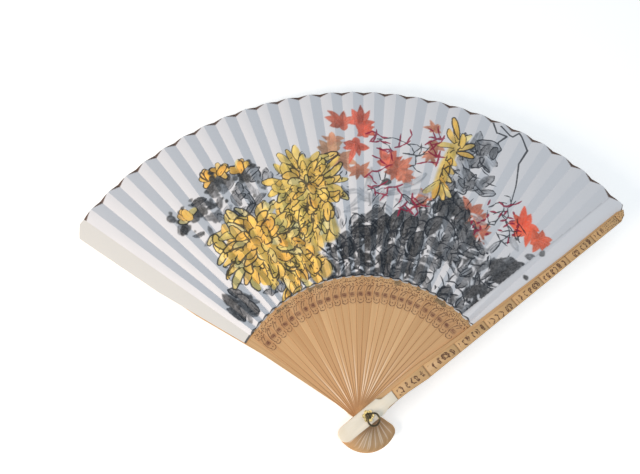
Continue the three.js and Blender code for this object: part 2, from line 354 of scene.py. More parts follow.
def rib_material(wood):
    """Burnished bamboo with a burnt scroll in the strip of each rib that shows beside its neighbour."""
    surface = Surface("burnished_bamboo", {"Specular IOR Level": 0.45})
    across, along = surface.uv("stick")
    tone = surface.attribute("tone")
    grain = bamboo_grain(surface, across, along, tone * 60.0)
    pale = (grain * 0.6 + tone * 0.6 - 0.2).clamped()
    base = surface.mix(pale, surface.plain(wood.deep), surface.plain(wood.pale))

    shake = surface.noise(surface.vector(across * 0.8, along * 0.8, tone * 90.0), 1.0, 2.0) - 0.5
    x = across + 2.3 + shake * 1.1
    y = along + shake * 0.9
    pressure = surface.noise(surface.vector(across * 0.4, along * 0.4, tone * 31.0), 1.0, 1.0)
    line = pressure * 0.7 - 0.1

    spine = abs(distance(x - 8.7, y - 90.6) - 11.0).below(line, 0.4) * abs(y - 91.4).below(5.8, 0.8)
    hook = abs(distance(x - 0.2, y - 86.3) - 2.5).below(line, 0.4) * (y - x * 0.5).below(86.6, 0.5)
    drop = distance(x - 0.5, y - 86.4).below(0.5, 0.4)
    crown = abs(distance(x - 1.2, y - 95.0) - 2.4).below(line, 0.4) * (x * 0.7 - y).below(-95.0, 0.5)
    tick = abs(x - 0.9 - (y - 95.0) * 0.55).below(line, 0.4) * abs(y - 95.3).below(1.6, 0.4)
    dashes = abs(y % 1.5 - 0.75).below(0.2, 0.3)
    dashes = dashes * abs(y - 91.0).below(2.4, 0.4) * abs(x - 0.4).below(1.3, 0.5)
    strokes = spine.most(hook).most(drop).most(crown).most(tick).most(dashes * (pressure * 1.5).clamped())
    dots = surface.node(
        "ShaderNodeTexVoronoi",
        {"voronoi_dimensions": "2D"},
        {"Vector": surface.vector(across + tone * 40.0, along), "Scale": 0.66},
    )
    strokes = strokes.most(dots.below(0.29, 0.14) * abs(y - 100.4).below(3.2, 0.8))

    smear = abs(y - 91.0).below(1.5, 1.8) * abs(x - 0.2).below(2.0, 1.8) * (pressure * 1.7).clamped()
    smoky = abs(y - 92.5).below(8.0, 6.0) * 0.3
    hazed = surface.mix(smoky, base, surface.plain((0.66, 0.45, 0.30)))
    scorched = surface.mix(smear * 0.8, hazed, surface.plain((0.38, 0.17, 0.12)))
    burnt = surface.mix(strokes * 0.8, scorched, surface.plain(wood.burnt))

    # Painted shade: a dark line along both edges of each rib's top. It stands for the shade in the gap where
    # the next rib overlaps, and partly for the edges' own darker colour.
    edge = abs(abs(across) - 5.75)
    painted_gap_shade = edge.below(0.3, 0.4) * 0.6
    gap_shaded = surface.mix(painted_gap_shade, burnt, surface.plain((0.45, 0.29, 0.17)))
    # Painted highlight: pale streaks along the edges of the ribs whose tone is high, near their heads, where
    # polish would catch the lamp.
    bare = (0.55 - tone).below(0.0, 0.1)
    painted_glint = abs(abs(across) - 5.0).below(0.4, 0.5) * abs(along - 5.0).below(30.0, 40.0) * bare
    lit = surface.mix(painted_glint * 0.85, gap_shaded, surface.plain((0.98, 0.90, 0.80)))
    spill = surface.noise(surface.place(), 95.0, 1.0)
    spilt = (0.64 - spill).below(0.0, 0.03) * (101.0 - along).below(0.0, 2.0) * 0.6
    surface.feed("Base Color", surface.mix(spilt, lit, surface.plain((0.33, 0.31, 0.24))))
    surface.feed("Roughness", 0.27 + grain * 0.16 + strokes * 0.25)
    return surface.material


def plain_bamboo_material(wood):
    surface = Surface("split_bamboo", {"Roughness": 0.6})
    across, along = surface.uv("stick")
    grain = bamboo_grain(surface, across, along, surface.attribute("tone") * 60.0)
    deep = surface.plain([c * 0.93 for c in wood.deep])
    surface.feed("Base Color", surface.mix(grain.clamped(), deep, surface.plain(wood.pale)))
    return surface.material


def rind_material(wood):
    """The guard's outer bamboo: glossy rind with rings at its nodes and burnt curls between them."""
    surface = Surface("bamboo_rind", {"Specular IOR Level": 0.5})
    across, along = surface.uv("stick")
    grain = bamboo_grain(surface, across, along, 3.0)
    deep = surface.plain([c * 0.93 for c in wood.rind])
    base = surface.mix((grain * 0.8).clamped(), deep, surface.plain(wood.rind))

    shake = surface.noise(surface.vector(across * 0.5, along * 0.5, 5.0), 1.0, 2.0) - 0.5
    length = along - FIRST_NODE + shake * 1.2
    inside = length % INTERNODE
    middle = INTERNODE / 2
    node_ring = 1.0 - abs(inside - middle).below(middle - 0.7, 0.5)

    cell = 4.6
    row = (inside / cell).floor() + (length / INTERNODE).floor() * 7.0
    chance = [
        surface.node("ShaderNodeTexWhiteNoise", {"noise_dimensions": "1D"}, {"W": row + k * 50.0})
        for k in range(4)
    ]
    side = chance[0].below(0.5, 0.01) * 2.0 - 1.0
    lean = ((120.0 - along) / 95.0).clamped() * 2.8
    x = across - 3.1 + lean + shake * 2.0 - (chance[1] - 0.5) * 1.2
    y = (inside % cell - cell / 2 + shake * 1.6) * side
    pressure = surface.noise(surface.vector(across * 0.6, along * 0.6, 8.0), 1.0, 1.0) * 1.5 - 0.35
    reach = chance[2] * 1.2 + 2.2
    curl = abs(distance(x, y + reach * 0.8) - reach).below(pressure, 0.35)
    curl = curl * abs(x).below(2.3, 0.5) * y.below(1.5, 0.3)
    second = abs(distance(x - 0.6, y + reach * 0.8 + 1.5) - reach).below(pressure, 0.35)
    second = second * abs(x).below(1.9, 0.5) * chance[3].below(0.5, 0.01)
    knots = distance(x - 1.9, y + 0.4).below(0.6, 0.4).most(distance(x + 1.7, y + 0.6).below(0.5, 0.4))
    tick = abs(y - x * 0.5 + 0.2).below(0.25, 0.35)
    tick = tick * abs(x + 0.4).below(1.3, 0.4) * chance[1].below(0.4, 0.01)
    curls = curl.most(second).most(knots * chance[2].below(0.7, 0.01)).most(tick)
    curls = curls * abs(inside - middle).below(middle - 2.6, 0.6)

    tip = 1.0 - along.below(244.0, 6.0)
    dots = surface.node(
        "ShaderNodeTexVoronoi",
        {"voronoi_dimensions": "2D"},
        {"Vector": surface.vector(across, along), "Scale": 0.6},
    )
    burnt = (curls * (1.0 - tip)).most(dots.below(0.22, 0.14) * tip)
    burnt = burnt * abs(across - 3.2 + lean).below(3.2, 0.6)
    shaded = surface.mix(node_ring * 0.5, base, surface.plain((0.55, 0.38, 0.22)))
    surface.feed("Base Color", surface.mix(burnt * 0.9, shaded, surface.plain(wood.burnt)))
    surface.feed("Roughness", 0.30 + grain * 0.15 + burnt * 0.25)
    surface.bump(grain * 0.3 - burnt - node_ring, 0.35, 0.0002)
    return surface.material


def ivory_material(fittings):
    """Polished plate with faint growth lines and a little yellowing."""
    surface = Surface("ivory_plate", {"Specular IOR Level": 0.5})
    across, along = surface.uv("stick")
    lines = surface.noise(surface.vector(across * 1.6, along * 0.12, 1.0), 1.0, 3.0)
    clouds = surface.noise(surface.vector(across * 0.12, along * 0.12, 4.0), 1.0, 2.0)
    yellowed = surface.plain([c * f for c, f in zip(fittings.ivory, (0.95, 0.91, 0.82))])
    aged = (lines * 0.5 + clouds * 0.8 - 0.3).clamped() * 0.8
    surface.feed("Base Color", surface.mix(aged, surface.plain(fittings.ivory), yellowed))
    surface.feed("Roughness", 0.28 + clouds * 0.18)
    return surface.material


def brass_material(name, worn, patina, share):
    """Brass whose patina is rubbed off in places. share is how much of it the patina covers."""
    surface = Surface(name, {"Metallic": 0.85})
    spots = surface.noise(surface.place(), 900.0, 3.0)
    cover = (spots - 0.5) * 3.0 + share
    surface.feed("Base Color", surface.mix(cover.clamped(), surface.plain(worn), surface.plain(patina)))
    surface.feed("Roughness", 0.30 + cover.clamped() * 0.25)
    surface.bump(surface.noise(surface.place(), 1600.0, 2.0), 0.25, 0.00005)
    return surface.material


def leaf_material(leaf):
    """Mulberry paper with soaked-in washes and crisp brush lines."""
    surface = Surface("painted_paper", {"Roughness": 0.88, "Specular IOR Level": 0.25})
    fibres = surface.noise(surface.place(), 620.0, 4.0)
    grit = surface.noise(surface.place(), 2200.0, 2.0)
    wash = surface.attribute("wash", "Color")
    dry = ((fibres + grit - 0.86) * 1.1).clamped()
    damp = surface.mix(dry * 0.3, wash, surface.plain(leaf.paper))
    ragged = (fibres - 0.5) * 0.5 + (grit - 0.5) * 0.25
    ink = (surface.attribute("ink") + ragged).below(0.0, 0.35)
    twig = (surface.attribute("twig") + ragged).below(0.0, 0.4)
    inked = surface.mix(ink * (0.72 + grit * 0.3).clamped(), damp, surface.plain(leaf.ink))
    twig = twig * (0.7 + grit * 0.4).clamped()
    surface.feed("Base Color", surface.mix(twig, inked, surface.plain(leaf.crimson)))
    surface.bump(fibres + grit * 0.5, 0.22, 0.0001)
    return surface.material


def leaf_back_material(leaf):
    """The unpainted side of the paper, where the washes show through a little."""
    surface = Surface("bare_paper", {"Roughness": 0.9, "Specular IOR Level": 0.25})
    fibres = surface.noise(surface.place(), 620.0, 4.0)
    ghost = surface.mix(0.16, surface.plain(leaf.paper), surface.attribute("wash", "Color"))
    surface.feed("Base Color", surface.mix(fibres * 0.12, ghost, surface.plain((0.80, 0.76, 0.70))))
    surface.bump(fibres, 0.22, 0.0001)
    return surface.material


# Meshes


def add_piece(name, bm, materials, body, slot, *nodes):
    """Makes the piece's object, parents it to the body it rides on and hides the CAD nodes it stands for."""
    mesh = bpy.data.meshes.new(name)
    bm.to_mesh(mesh)
    bm.free()
    for material in materials:
        mesh.materials.append(material)
    piece = bpy.data.objects.new(name, mesh)
    bpy.context.scene.collection.objects.link(piece)
    if body:
        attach(piece, body)
    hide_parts(*nodes)
    return piece


def soften(piece, degrees=32):
    piece.data.shade_smooth()
    piece.data.set_sharp_from_angle(angle=math.radians(degrees))


def stick_copy(node, i, lift=0.0):
    """The CAD node's mesh, merged and laid along +Y as a stick is drawn, its height less the lift."""
    bm = bmesh.new()
    bm.from_mesh(frame["nodes"][node].data)
    bmesh.ops.remove_doubles(bm, verts=bm.verts, dist=MERGE)
    laid = Matrix.Translation((0, 0, -lift)) @ Matrix.Rotation(-stick_turn(i), 4, "Z")
    bmesh.ops.transform(bm, matrix=laid, verts=bm.verts)
    bmesh.ops.dissolve_limit(bm, angle_limit=math.radians(1), verts=bm.verts, edges=bm.edges)
    return bm


def put_in_place(bm, i, lift=0.0):
    turned = Matrix.Rotation(stick_turn(i), 4, "Z") @ Matrix.Translation((0, 0, lift))
    bmesh.ops.transform(bm, matrix=turned, verts=bm.verts)


def map_stick(bm, side=1):
    """Lays the UV map that the grain and ornament follow: across the stick and along it, in metres."""
    layer = bm.loops.layers.uv.new("stick")
    for face in bm.faces:
        for loop in face.loops:
            loop[layer].uv = (side * loop.vert.co.x, loop.vert.co.y)


def give_tone(bm, tone):
    layer = bm.verts.layers.float.new("tone")
    for vert in bm.verts:
        vert[layer] = tone


def cut(bm, point, normal, keep=None):
    """Cuts the mesh by a plane. keep, +1 or -1, leaves only that side and closes it."""
    geometry = [*bm.verts, *bm.edges, *bm.faces]
    result = bmesh.ops.bisect_plane(
        bm,
        geom=geometry,
        plane_co=point,
        plane_no=normal,
        dist=0.001 * MM,
        clear_outer=keep == -1,
        clear_inner=keep == 1,
    )
    if keep:
        rim = [e for e in result["geom_cut"] if isinstance(e, bmesh.types.BMEdge)]
        bmesh.ops.holes_fill(bm, edges=rim)
    bmesh.ops.remove_doubles(bm, verts=bm.verts, dist=MERGE)


def rim_edges(bm, upward=1, low=-1.0):
    """The edges between a level face that looks up (or down) and an upright side, past low on the stick."""
    found = []
    for edge in bm.edges:
        if len(edge.link_faces) != 2 or min(v.co.y for v in edge.verts) < low:
            continue
        heights = sorted(upward * f.normal.z for f in edge.link_faces)
        if heights[1] > 0.9 and abs(heights[0]) < 0.3:
            found.append(edge)
    return found


def bevel(bm, edges, offset, segments=2):
    bmesh.ops.bevel(
        bm,
        geom=edges,
        offset=offset,
        offset_type="OFFSET",
        affect="EDGES",
        segments=segments,
        profile=0.5,
        material=-1,
        clamp_overlap=True,
    )


def rib_blade(crown):
    """One rib from its head to its shoulder, a little higher along the middle than at its edges."""
    bm = stick_copy(STICKS[1], 1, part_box(STICKS[1])[0].z)
    shoulder = blade_end(bm)
    cut(bm, (0, shoulder + SHOULDER_GAP, 0), (0, 1, 0), keep=-1)
    for k in range(-3, 4):
        cut(bm, (k * RIB_HALF_WIDTH / 4, 0, 0), (1, 0, 0))
    for k in range(-2, 11):
        cut(bm, (0, k * 10 * MM, 0), (0, 1, 0))
    bm.normal_update()
    bevel(bm, rim_edges(bm), RIB_BEVEL)
    top = max(v.co.z for v in bm.verts)
    for vert in bm.verts:
        if vert.co.z > top / 2:
            vert.co.z -= crown * (vert.co.x / RIB_HALF_WIDTH) ** 2
    return bm


def rib_tongue():
    """The thin strip beyond a rib's shoulder, behind the leaf."""
    bm = stick_copy(STICKS[1], 1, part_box(STICKS[1])[0].z)
    cut(bm, (0, blade_end(bm) + SHOULDER_GAP, 0), (0, 1, 0), keep=1)
    return bm


def blade_end(bm):
    """Where a rib's blade ends: the farthest point that is as wide as the shoulder."""
    return max(v.co.y for v in bm.verts if abs(v.co.z) < 0.001 * MM)


class FAN_OT_ribs(Operator):
    """Makes the ribs: a blade and a thin tongue on each"""

    bl_idname = "fan.ribs"
    bl_label = "Ribs"

    def execute(self, context):
        wood = context.scene.fan_wood
        materials = [rib_material(wood), plain_bamboo_material(wood)]
        rng = np.random.default_rng(RIB_SEED)
        blade, tongue = rib_blade(wood.crown), rib_tongue()
        for face in blade.faces:
            face.material_index = 0 if face.normal.z > 0.5 else 1
        for i, body in enumerate(STICKS[1:FRONT], start=1):
            tone = rng.uniform(0, 1)
            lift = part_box(body)[0].z
            for part, form, finishes in (("blade", blade, materials), ("tongue", tongue, materials[1:])):
                bm = form.copy()
                map_stick(bm)
                give_tone(bm, tone)
                put_in_place(bm, i, lift)
                soften(add_piece(f"{body}_{part}", bm, finishes, body, "rib_bamboo", body))
        blade.free()
        tongue.free()
        return {"FINISHED"}


class FAN_OT_guards(Operator):
    """Makes both guards from their CAD shapes, with softened edges and an ornamented rind"""

    bl_idname = "fan.guards"
    bl_label = "Guards"

    def execute(self, context):
        wood = context.scene.fan_wood
        materials = [rind_material(wood), plain_bamboo_material(wood)]
        for body, i, out in (("rear_guard", 0, -1), ("front_guard", FRONT, 1)):
            bm = stick_copy(body, i)
            bm.normal_update()
            bevel(bm, rim_edges(bm, out, 20 * MM), GUARD_BEVEL)
            outer = max(out * v.co.z for v in bm.verts)
            map_stick(bm, out)
            give_tone(bm, 0.3)
            bm.normal_update()
            for face in bm.faces:
                height = outer - out * face.calc_center_median().z
                face.material_index = 0 if height < RIND_THICKNESS else 1
            put_in_place(bm, i)
            soften(add_piece(f"{body}_bamboo", bm, materials, body, "guard_bamboo", body))
        return {"FINISHED"}


class FAN_OT_bolsters(Operator):
    """Makes the pale plates over the guards' heads"""

    bl_idname = "fan.bolsters"
    bl_label = "Bolsters"

    def execute(self, context):
        material = ivory_material(context.scene.fan_fittings)
        for node, body, i, out in (
            ("rear_bolster", "rear_guard", 0, -1),
            ("front_bolster", "front_guard", FRONT, 1),
        ):
            bm = stick_copy(node, i)
            bm.normal_update()
            bevel(bm, rim_edges(bm, out), BOLSTER_BEVEL, 3)
            map_stick(bm, out)
            put_in_place(bm, i)
            soften(add_piece(f"{node}_plate", bm, [material], body, "bolster", node))
        return {"FINISHED"}


class FAN_OT_fittings(Operator):
    """Makes the rivet with its eye, the flower washer and the tassel ring"""

    bl_idname = "fan.fittings"
    bl_label = "Brass Fittings"

    def execute(self, context):
        fittings = context.scene.fan_fittings
        worn = brass_material("rubbed_brass", fittings.brass, fittings.patina, 0.1)
        dark = brass_material("dark_brass", fittings.brass, fittings.patina, 0.85)
        self.washer(worn)
        self.rivet(dark)
        self.ring(dark)
        return {"FINISHED"}

    def washer(self, material):
        low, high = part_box("front_washer")
        reach = reach_of("front_washer")[1]
        bm = flower(reach, 6, low.z, high.z, dome=0.15 * MM)
        soften(add_piece("flower_washer", bm, [material], "front_guard", "aged_brass", "front_washer"))

    def rivet(self, material):
        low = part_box("rivet")[0]
        eye_middle, eye_turn = self.eye()
        head_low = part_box("front_washer")[1].z + 0.05 * MM
        bm = flower(reach_of("rivet")[1], 8, low.z, low.z + REAR_HEAD, dome=-0.25 * MM)
        head = ((1.5, 0.0), (2.3, 0.1), (2.3, 0.35), (2.0, 0.65), (1.4, 0.82), (0.0, 0.86))
        turned(bm, [(1.5, 0.8), *((radius, head_low / MM + rise) for radius, rise in head)])
        upright = Matrix.Rotation(eye_turn, 4, "Z") @ Matrix.Rotation(math.pi / 2, 4, "X")
        hoop(bm, eye_middle, upright, EYE_RADIUS, EYE_WIRE)
        soften(add_piece("rivet_and_eye", bm, [material], "front_guard", "aged_brass", "rivet"))

    def eye(self):
        """The eye's middle and the turn of its plane."""
        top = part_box("rivet")[1].z
        low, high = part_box("tassel_ring")
        middle = (low + high) / 2
        return Vector((0, 0, top - EYE_RADIUS - EYE_WIRE)), math.atan2(middle.y, middle.x)

    def ring(self, material):
        co = np.array([v.co for v in frame["nodes"]["tassel_ring"].data.vertices])
        middle = co.mean(0)
        normal = np.linalg.svd(co - middle)[2][2]
        reach = np.linalg.norm(co - middle, axis=1)
        wire = (reach.max() - reach.min()) / 2 * 1.3
        bm = bmesh.new()
        facing = Vector(normal).to_track_quat("Z", "Y").to_matrix().to_4x4()
        hoop(bm, Vector(middle), facing, reach.max() - wire, wire)
        soften(add_piece("tassel_ring_wire", bm, [material], "tassel_ring", "aged_brass", "tassel_ring"), 60)


def flower(reach, petals, low, high, dome):
    """A stamped rosette: a round plate whose edge is drawn in between its petals."""
    bm = bmesh.new()
    bmesh.ops.create_circle(bm, cap_ends=True, cap_tris=False, radius=reach, segments=petals * 12)
    outer = list(bm.faces)
    for vert in bm.verts:
        turn = math.atan2(vert.co.y, vert.co.x)
        vert.co.xy *= 1 - 0.19 * abs(math.sin(petals * turn / 2)) ** 3
    for share in (0.25, 0.3, 0.35):
        bmesh.ops.inset_region(bm, faces=outer, thickness=share * reach * 0.6)
    body = bmesh.ops.extrude_face_region(bm, geom=list(bm.faces))
    upper = [v for v in body["geom"] if isinstance(v, bmesh.types.BMVert)]
    bmesh.ops.translate(bm, verts=upper, vec=(0, 0, high - low))
    bmesh.ops.recalc_face_normals(bm, faces=bm.faces)
    raised = upper if dome > 0 else [v for v in bm.verts if v not in set(upper)]
    for vert in raised:
        edge = min(1.0, vert.co.xy.length / (reach * 0.8))
        vert.co.z -= dome * edge**3
    bmesh.ops.translate(bm, verts=bm.verts, vec=(0, 0, low))
    return bm


def turned(bm, outline, steps=40):
    """Spins an outline of (radius, height) in millimetres round the rivet's axis."""
    verts = [bm.verts.new((radius * MM, 0, height * MM)) for radius, height in outline]
    edges = [bm.edges.new(pair) for pair in zip(verts, verts[1:])]
    bmesh.ops.spin(
        bm, geom=verts + edges, axis=(0, 0, 1), cent=(0, 0, 0), angle=2 * math.pi, steps=steps, use_merge=True
    )
    bmesh.ops.remove_doubles(bm, verts=bm.verts, dist=0.001 * MM)
    open_rim = [e for e in bm.edges if e.is_boundary]
    if open_rim:
        bmesh.ops.holes_fill(bm, edges=open_rim)
    bmesh.ops.recalc_face_normals(bm, faces=bm.faces)


def hoop(bm, middle, facing, reach, wire):
    """Adds a ring of round wire: a small circle spun round the ring's axis."""
    part = bmesh.new()
    bmesh.ops.create_circle(part, cap_ends=False, radius=wire, segments=16)
    bmesh.ops.rotate(part, verts=part.verts, matrix=Matrix.Rotation(math.pi / 2, 3, "X"))
    bmesh.ops.translate(part, verts=part.verts, vec=(reach, 0, 0))
    bmesh.ops.spin(
        part,
        geom=[*part.verts, *part.edges],
        axis=(0, 0, 1),
        cent=(0, 0, 0),
        angle=2 * math.pi,
        steps=48,
        use_merge=True,
    )
    bmesh.ops.remove_doubles(part, verts=part.verts, dist=0.001 * MM)
    bmesh.ops.recalc_face_normals(part, faces=part.faces)
    bmesh.ops.transform(part, matrix=Matrix.Translation(middle) @ facing, verts=part.verts)
    mesh = bpy.data.meshes.new("hoop")
    part.to_mesh(mesh)
    part.free()
    bm.from_mesh(mesh)
    bpy.data.meshes.remove(mesh)


# The leaf's painting. Places are in millimetres on the open leaf, seen from above.


def at(degrees, reach):
    """A place on the open leaf by its angle from the middle, clockwise, and its distance from the rivet."""
    turn = math.radians(degrees)
    return np.array((reach * math.sin(turn), reach * math.cos(turn)))


def heading(degrees):
    return at(degrees, 1.0)


def curve(start, degrees, length, bend=0.0, steps=8):
    """Points of a line that sets out in a direction and turns by bend degrees on its way."""
    turns = degrees + bend * (np.arange(steps) + 0.5) / steps
    hops = np.stack([heading(t) for t in turns]) * (length / steps)
    return np.vstack([start, start + np.cumsum(hops, axis=0)])


class Stroke:
    """The leaf's points near a brush stroke: how far outside it each lies, and to which side."""

    def __init__(self, near, gap, side):
        self.near = near
        self.gap = gap
        self.side = side


class Painting:
    """Washes and brush lines, worked out at every point of the leaf."""

    def __init__(self, points, leaf):
        self.points = points
        self.leaf = leaf
        self.rng = np.random.default_rng(PAINTING_SEED)
        self.wash = np.tile(np.array(leaf.paper, float), (len(points), 1))
        self.ink = np.full(len(points), NO_LINE)
        self.twig = np.full(len(points), NO_LINE)
        self.cloud = self.mottle(5.0)
        self.dapple = self.mottle(1.7)

    def mottle(self, size):
        """Smooth random values from 0 to 1 over the leaf, in patches of about this size."""
        place = (self.points + 400.0) / size
        cell = np.floor(place).astype(int)
        part = place - cell
        part = part * part * (3 - 2 * part)
        grid = self.rng.random((int(800 / size) + 3, int(800 / size) + 3))
        corner = [grid[cell[:, 0] + dx, cell[:, 1] + dy] for dx in (0, 1) for dy in (0, 1)]
        low = corner[0] + (corner[1] - corner[0]) * part[:, 1]
        high = corner[2] + (corner[3] - corner[2]) * part[:, 1]
        return low + (high - low) * part[:, 0]

    def stroke(self, line, widths, margin=2.0):
        """A brush stroke along a line of points, its half-width changing on the way."""
        line = np.asarray(line, float)
        stops = np.linspace(0, 1, len(widths))
        widths = np.interp(np.linspace(0, 1, len(line)), stops, widths)
        reach = widths.max() + margin
        inside = (self.points > line.min(0) - reach).all(1) & (self.points < line.max(0) + reach).all(1)
        near = np.nonzero(inside)[0]
        spots = self.points[near]
        gap = np.full(len(near), np.inf)
        side = np.zeros(len(near))
        for a, b, wide_a, wide_b in zip(line, line[1:], widths, widths[1:]):
            way = b - a
            long = max(np.hypot(*way), 1e-6)
            off = spots - a
            share = np.clip((off @ way) / long**2, 0, 1)
            away = np.linalg.norm(off - share[:, None] * way, axis=1) - wide_a - share * (wide_b - wide_a)
            closer = away < gap
            gap[closer] = away[closer]
            side[closer] = ((off[:, 0] * way[1] - off[:, 1] * way[0]) / long)[closer]
        return Stroke(near, gap, side)

    def fill(self, mark, colour, strength=1.0, softness=0.5, pool=0.0, dry=0.0, streaks=0.0):
        """Lays a wash. pool darkens its rim, dry lets the paper show in patches, streaks are brush hairs."""
        near, gap = mark.near, mark.gap
        cover = np.clip(0.5 - gap / softness, 0, 1) * strength
        if dry:
            cover *= np.clip(1.25 - dry * 2.2 * self.dapple[near], 0, 1)
        shade = 0.86 + 0.28 * self.cloud[near] - pool * np.exp(-((gap + 0.6) ** 2))
        if streaks:
            hairs = self.rng.random(64)
            shade += streaks * (np.interp(mark.side * 2.4 + 32, np.arange(64), hairs) - 0.45)
        tint = np.clip(np.asarray(colour)[None, :] * shade[:, None], 0, 1)
        self.wash[near] += cover[:, None] * (tint - self.wash[near])

    def cover_lines(self, mark, inset=0.3):
        """Hides the brush lines under a filled shape."""
        self.ink[mark.near] = np.where(mark.gap < -inset, NO_LINE, self.ink[mark.near])

    def outline(self, mark, width, one_side=0.0):
        """Draws a brush line round a filled shape, which thins out towards one of its sides."""
        self.cover_lines(mark, 0.0)
        rim = np.abs(mark.gap) - width + np.clip(one_side * mark.side, 0, 2)
        self.ink[mark.near] = np.minimum(self.ink[mark.near], rim)

    def line(self, line, widths, layer="ink"):
        mark = self.stroke(line, widths)
        values = getattr(self, layer)
        values[mark.near] = np.minimum(values[mark.near], mark.gap)

    def petal(self, line, width, colour, outline=0.46, profile=(0.4, 0.85, 1.0, 0.95, 0.55)):
        rng = self.rng
        mark = self.stroke(line, [width * p for p in profile])
        self.fill(mark, colour, rng.uniform(0.7, 1.0), dry=0.05, streaks=0.1)
        self.outline(mark, outline * rng.uniform(0.5, 1.5), rng.choice((0, 0, -0.45, 0.45)))
        if rng.random() < 0.45:
            self.line(line[1:5] + rng.uniform(-0.9, 0.9, 2), (0.1, 0.42, 0.1))

    def blossom_tint(self, warm):
        """A yellow that is paler or warmer from petal to petal."""
        leaf = self.leaf
        yellow, orange = np.array(leaf.yellow), np.array(leaf.orange)
        pick = self.rng.random()
        if pick < 0.1:
            return yellow + (np.array((0.86, 0.84, 0.70)) - yellow) * self.rng.uniform(0.3, 0.8)
        if pick < 0.2:
            return yellow + (np.array((0.72, 0.68, 0.42)) - yellow) * self.rng.uniform(0.3, 0.7)
        return yellow + (orange - yellow) * np.clip(self.rng.normal(warm, 0.3), 0, 1)

    def ground(self, line, width, warm):
        """A loose yellow wash under petals, so that no bare paper shows between them."""
        mark = self.stroke(line, (width * 0.8, width, width * 0.75))
        colour = np.array(self.leaf.yellow) * (1 - warm) + np.array(self.leaf.orange) * warm
        self.fill(mark, colour * 0.98, 0.85, 2.5, 0.0, 0.12)

    def bloom(self, middle, rings, long_side=0.0, stretch=0.0):
        """A many-petalled blossom, laid from its outermost ring of petals inward, longer on one side."""
        rng = self.rng
        way = heading(long_side)
        self.ground([middle - way * 4, middle + way * 6], rings[0][0] * 0.78, 0.35)
        for reach, count, length, width, warm in rings:
            offset = rng.uniform(0, 360 / count)
            for k in rng.permutation(count):
                turn = offset + 360 * (k + rng.uniform(-0.35, 0.35)) / count
                grow = 1 + stretch * max(0.0, math.cos(math.radians(turn - long_side)))
                long = length * grow * rng.uniform(0.7, 1.2)
                start = middle + heading(turn) * (reach * grow * rng.uniform(0.88, 1.06) - long)
                line = curve(start, turn + rng.uniform(-32, 32), long, rng.uniform(-80, 80))
                self.petal(line, width * rng.uniform(0.7, 1.25), self.blossom_tint(warm))

    def petals(self, starts, turns, length, width, warm=0.25):
        for start in starts:
            turn = self.rng.uniform(*turns)
            line = curve(start, turn, length * self.rng.uniform(0.7, 1.2), self.rng.uniform(-60, 60))
            self.petal(line, width * self.rng.uniform(0.7, 1.2), self.blossom_tint(warm))

    def bud(self, middle, size, turn, count=6):
        """A closed bud: round petals folded over each other, in a calyx of dark blots."""
        rng = self.rng
        for _ in range(9):
            spot = middle + heading(turn + 180 + rng.uniform(-75, 75)) * size * rng.uniform(0.6, 1.25)
            self.blot(spot, size * rng.uniform(0.24, 0.4), rng.uniform(0.18, 0.4))
        for k in range(count):
            aim = turn + (k - (count - 1) / 2) * 230 / count + rng.uniform(-14, 14)
            start = middle + heading(aim) * size * 0.1 - heading(turn) * size * 0.2
            line = curve(start, aim, size * 0.72, rng.uniform(-60, 60))
            self.petal(line, size * 0.3, self.blossom_tint(0.75), 0.5, (0.7, 1.0, 1.0, 0.95, 0.8))
        line = curve(middle - heading(turn) * size * 0.45, turn, size * 0.8, 20)
        self.petal(line, size * 0.36, self.blossom_tint(0.95), 0.5, (0.6, 1.0, 1.0, 0.95, 0.8))

    def blot(self, middle, size, grey):
        turn = self.rng.uniform(0, 360)
        mark = self.stroke(curve(middle, turn, size * 1.6, 40, 4), [size * 0.5, size, size * 0.55])
        self.fill(mark, np.full(3, grey), 0.88, 0.9, 0.04, 0.2, 0.1)
        self.cover_lines(mark)

    def maple(self, middle, size, turn, colour, lobes=7):
        """Pointed lobes of one colour, laid wet over each other, and a few darker veins."""
        rng = self.rng
        mark = self.stroke(curve(middle - heading(turn) * size * 0.2, turn, size * 0.4), (size * 0.24,))
        self.fill(mark, np.array(colour), 0.93, 0.8, 0.0, 0.1)
        spread = ((0, 1.1), (42, 0.95), (-42, 0.95), (82, 0.78), (-84, 0.8), (126, 0.6), (-126, 0.6))[:lobes]
        for lobe, reach in reversed(spread):
            aim = turn + lobe + rng.uniform(-13, 13)
            long = size * reach * rng.uniform(0.75, 1.25)
            line = curve(middle, aim, long, rng.uniform(-34, 34), 6)
            wide = size * rng.uniform(0.85, 1.25)
            mark = self.stroke(line, [wide * w for w in (0.12, 0.18, 0.21, 0.14, 0.03)])
            self.fill(mark, np.array(colour) * rng.uniform(0.88, 1.1), 0.93, 0.7, 0.05, 0.12, 0.12)
            mark = self.stroke(line[:5], (0.25, 0.1))
            self.fill(mark, np.array(colour) * 0.7, 0.6, 0.7)

    def leaf_shape(self, middle, turn, length, width, grey, outlined=True, strength=0.88):
        """One brushed leaf: a streaky grey body with pooled edges, and perhaps a drawn outline and midrib."""
        rng = self.rng
        start = middle - heading(turn) * length / 2
        line = curve(start, turn - 10, length, rng.uniform(-40, 50))
        mark = self.stroke(line, [width * w for w in (0.4, 0.95, 1.0, 0.8, 0.2)])
        self.fill(mark, np.array((0.99, 1.0, 1.03)) * grey, strength, 1.0, 0.07, 0.3, 0.42)
        if outlined:
            self.outline(mark, rng.uniform(0.25, 0.6), rng.choice((0, -0.25, 0.25)))
            self.line(line[:7], (0.4, 0.15))
        else:
            self.cover_lines(mark)

    def spray(self, count, degrees, reach, turns, lengths, widths, greys, outlined, strength=0.88):
        """Brushed leaves strewn over one part of the paper, each limit a pair of least and most."""
        rng = self.rng
        for _ in range(count):
            place = at(rng.uniform(*degrees), rng.uniform(*reach))
            drawn = rng.random() < outlined
            size, wide = rng.uniform(*lengths), rng.uniform(*widths)
            self.leaf_shape(place, rng.uniform(*turns), size, wide, rng.uniform(*greys), drawn, strength)

